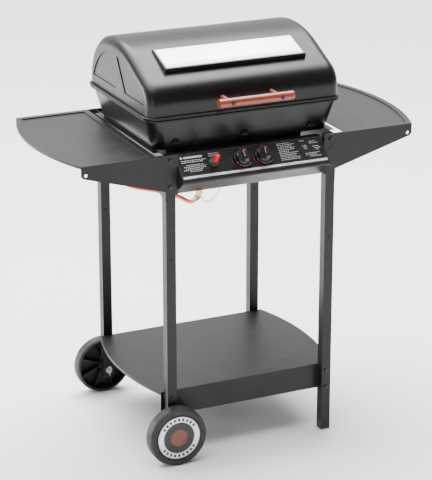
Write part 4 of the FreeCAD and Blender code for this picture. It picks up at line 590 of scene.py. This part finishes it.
def make_ring_marks(end, sy):
    """Evenly spaced plain bars on the badge's pale ring, and its two dark edge lines."""
    bm = bmesh.new()
    at = round_wheel(sy)

    def flat(angle, radius, lift):
        return at(math.radians(angle), radius, BADGE_FACE + lift)

    bar_inner, bar_outer, bar_step = 44.9, 52.2, 13.5
    for middle in (90, 270):
        for k in range(-4, 5):
            a = middle + k * bar_step
            slab(bm, [(a - 4.2, bar_inner), (a + 4.2, bar_inner),
                      (a + 3.8, bar_outer), (a - 3.8, bar_outer)], flat, -0.2, 0.12)
    line_steps = 96
    turn = 360 / line_steps
    for inner, outer in ((41.6, 42.3), (54.6, 55.3)):
        for k in range(line_steps):
            a, b = k * turn, (k + 1) * turn
            slab(bm, [(a, inner), (b, inner), (b, outer), (a, outer)], flat, -0.2, 0.1)
    piece(f"{end}_ring_marks", bm, DARK_INK, f"{end}_wheel", smooth=False)


# ---------------------------------------------------------------- cords

# Points on the two cords' ways, the same as in the CAD.
HOSE_ROUTE = [
    (-124, -168.8, 658.6), (-124, -147.8, 643.4), (-124, -122, 637.4),
    (-125.5, -94, 636.6), (-132, -63, 636.4), (-145, -32, 636),
    (-164, -1, 635.8), (-185, 25, 635.5), (-203, 50, 635.2),
    (-208.6, 80, 635), (-208.6, 100, 635),
]
LEAD_ROUTE = [
    (-104, -206.9, 740.8), (-103.5, -209, 732), (-101, -209, 721),
    (-95, -205, 712), (-84, -196, 704), (-71, -188, 696),
    (-65, -186, 684), (-73, -186, 670), (-85, -186, 659),
    (-96, -186, 651.8), (-106, -184, 652), (-111.5, -178, 660),
    (-112.5, -170, 673), (-114, -160, 688), (-116, -148, 700),
    (-116, -134, 705.5), (-117, -122, 711), (-117, -118, 719.6),
]


def coil_point(turns, shift):
    """A point on the stowed loop, so many turns on from its lowest point."""
    angle = 2 * math.pi * turns
    return Vector((COIL_X + shift, COIL_Y + COIL_RADIUS * math.sin(angle),
                   COIL_Z - COIL_RADIUS * math.cos(angle)))


def hose_points():
    """The hose's run to the stowed loop, the loop's turns and the short tail."""
    points = [Vector(p) for p in HOSE_ROUTE]
    steps = 17
    for k in range(1, steps + 1):
        turns = COIL_TURNS * k / steps
        points.append(coil_point(turns, COIL_SHIFT - 2 * COIL_SHIFT * k / steps))
    angle = 2 * math.pi * COIL_END
    step = Vector((0, math.cos(angle), math.sin(angle))) * 17
    leave = coil_point(COIL_END, -COIL_SHIFT)
    return points + [leave + step * 0.62, leave + step * 1.7 + Vector((1.6, 0, 0)),
                     leave + step * 2.9 + Vector((2.8, 0.6, 0))]


def cord_curve(name, points, radius, finish, body, slot, *nodes):
    """A smooth round cord whose NURBS control points are the route's own points."""
    curve = bpy.data.curves.new(name, "CURVE")
    curve.dimensions = "3D"
    curve.bevel_depth = radius
    curve.bevel_resolution = 6
    curve.resolution_u = 10
    curve.use_fill_caps = True
    spline = curve.splines.new("NURBS")
    spline.points.add(len(points) - 1)
    for place, point in zip(spline.points, points):
        place.co = (*(Vector(point) * MM), 1)
    spline.order_u = 3
    spline.use_endpoint_u = True
    curve.materials.append(finish)
    made = bpy.data.objects.new(name, curve)
    bpy.context.scene.collection.objects.link(made)
    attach(made, body)
    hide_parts(*nodes)
    return made


def make_tie():
    """A soft strap round the two turns of the stowed loop."""
    bm = bmesh.new()
    place = 0.095
    angle = 2 * math.pi * place
    first = coil_point(place, COIL_SHIFT - 2 * COIL_SHIFT * 0.08)
    second = coil_point(place, COIL_SHIFT - 2 * COIL_SHIFT * 0.92)
    middle = (first + second) / 2
    along = Vector((0, math.cos(angle), math.sin(angle)))
    out = Vector((0, math.sin(angle), -math.cos(angle)))
    across = Vector((1, 0, 0))
    half, steps = 4.2, 12

    def loop(radius):
        ring = []
        for side in (1, -1):
            for k in range(steps + 1):
                a = -side * math.pi / 2 + math.pi * k / steps
                ring.append((side * half + math.cos(a) * radius, math.sin(a) * radius))
        return ring

    rings = []
    for radius, side in ((5.5, -4), (6.5, -4), (6.7, 0), (6.5, 4), (5.5, 4)):
        rings.append([bm.verts.new((middle + across * u + out * v + along * side) * MM)
                      for u, v in loop(radius)])
    n = len(rings[0])
    for low, high in zip(rings, rings[1:] + rings[:1]):
        for k in range(n):
            j = (k + 1) % n
            bm.faces.new((low[k], low[j], high[j], high[k]))
    return piece("hose_tie", bm, STRAP_BLACK, "trolley")


make_print()
make_dials()
for side, sx in (("left", -1), ("right", 1)):
    make_knob_mark(side, sx)
    make_knob_painted_highlight(side, sx)
for end, sy in (("front", -1), ("rear", 1)):
    make_tread(end, sy)
    make_cap(end, sy)
    make_ring_marks(end, sy)

hose = cord_curve("gas_hose_run", hose_points(), 5 * MM, HOSE_ORANGE, "trolley", "orange_hose",
                  "gas_hose", "hose_loop", "hose_tail")
tie = make_tie()
lead = cord_curve("ignition_lead_run", LEAD_ROUTE, 1 * MM, LEAD_GREY, "trolley", "grey_lead",
                  "ignition_lead")


# ---------------------------------------------------------------- studio

def make_floor():
    """A wide floor, 1 mm down so that the tyres' tread blocks rest on it."""
    bm = bmesh.new()
    bmesh.ops.create_grid(bm, x_segments=2, y_segments=2, size=14)
    mesh = bpy.data.meshes.new("floor")
    bm.to_mesh(mesh)
    bm.free()
    mesh.materials.append(floor_finish())
    floor = bpy.data.objects.new("floor", mesh)
    floor.location.z = -0.001
    bpy.context.scene.collection.objects.link(floor)


def softbox(name, place, target, width, height, power):
    """A white rectangular light that faces its target."""
    light = bpy.data.lights.new(name, "AREA")
    light.shape = "RECTANGLE"
    light.size, light.size_y = width, height
    light.energy = power
    made = bpy.data.objects.new(name, light)
    made.location = place
    aim = Vector(target) - Vector(place)
    made.rotation_euler = aim.to_track_quat("-Z", "Y").to_euler()
    bpy.context.scene.collection.objects.link(made)


def overhead(strength, spread, tilt_back, tilt_left):
    """A wide soft light from above, like a white studio ceiling."""
    light = bpy.data.lights.new("overhead", "SUN")
    light.energy = strength
    light.angle = math.radians(spread)
    made = bpy.data.objects.new("overhead", light)
    made.rotation_euler = (math.radians(-tilt_back), math.radians(-tilt_left), 0)
    bpy.context.scene.collection.objects.link(made)


def make_world():
    """Pale surroundings, bright behind the object and dim on the camera's side."""
    world = bpy.data.worlds.new("studio")
    world.use_nodes = True
    tree = world.node_tree
    back = tree.nodes["Background"]
    back.inputs["Color"].default_value = (0.98, 0.985, 1.0, 1.0)
    where = tree.nodes.new("ShaderNodeTexCoord")
    axes = tree.nodes.new("ShaderNodeSeparateXYZ")
    fade = tree.nodes.new("ShaderNodeMapRange")
    fade.interpolation_type = "SMOOTHSTEP"
    for key, value in (("From Min", -0.5), ("From Max", 0.8), ("To Min", 0.16), ("To Max", 1.5)):
        fade.inputs[key].default_value = value
    tree.links.new(where.outputs["Generated"], axes.inputs["Vector"])
    tree.links.new(axes.outputs["Y"], fade.inputs["Value"])
    tree.links.new(fade.outputs["Result"], back.inputs["Strength"])
    bpy.context.scene.world = world


def make_camera():
    """The camera fitted to the photograph: its lens, place and direction."""
    camera = bpy.data.cameras.new("camera")
    camera.lens = 150.85
    camera.sensor_width = 36
    camera.clip_end = 60
    made = bpy.data.objects.new("camera", camera)
    view = Vector((0.39212, 0.85698, -0.33441))
    made.rotation_euler = view.to_track_quat("-Z", "Y").to_euler()
    made.location = (-2.02356, -4.44017, 2.20973)
    bpy.context.scene.collection.objects.link(made)
    bpy.context.scene.camera = made


make_floor()
make_world()
overhead(strength=7.0, spread=76, tilt_back=14, tilt_left=6)
softbox("top", (0.3, 1.2, 3.6), (0, 0.4, 0.6), width=2.8, height=2.2, power=220)
softbox("left_strip", (-2.6, 2.6, 0.7), (0, 0, 0.4), width=0.7, height=1.3, power=55)
softbox("front_fill", (-2.6, -2.4, 1.5), (0, 0, 0.9), width=0.7, height=1.4, power=14)
make_camera()
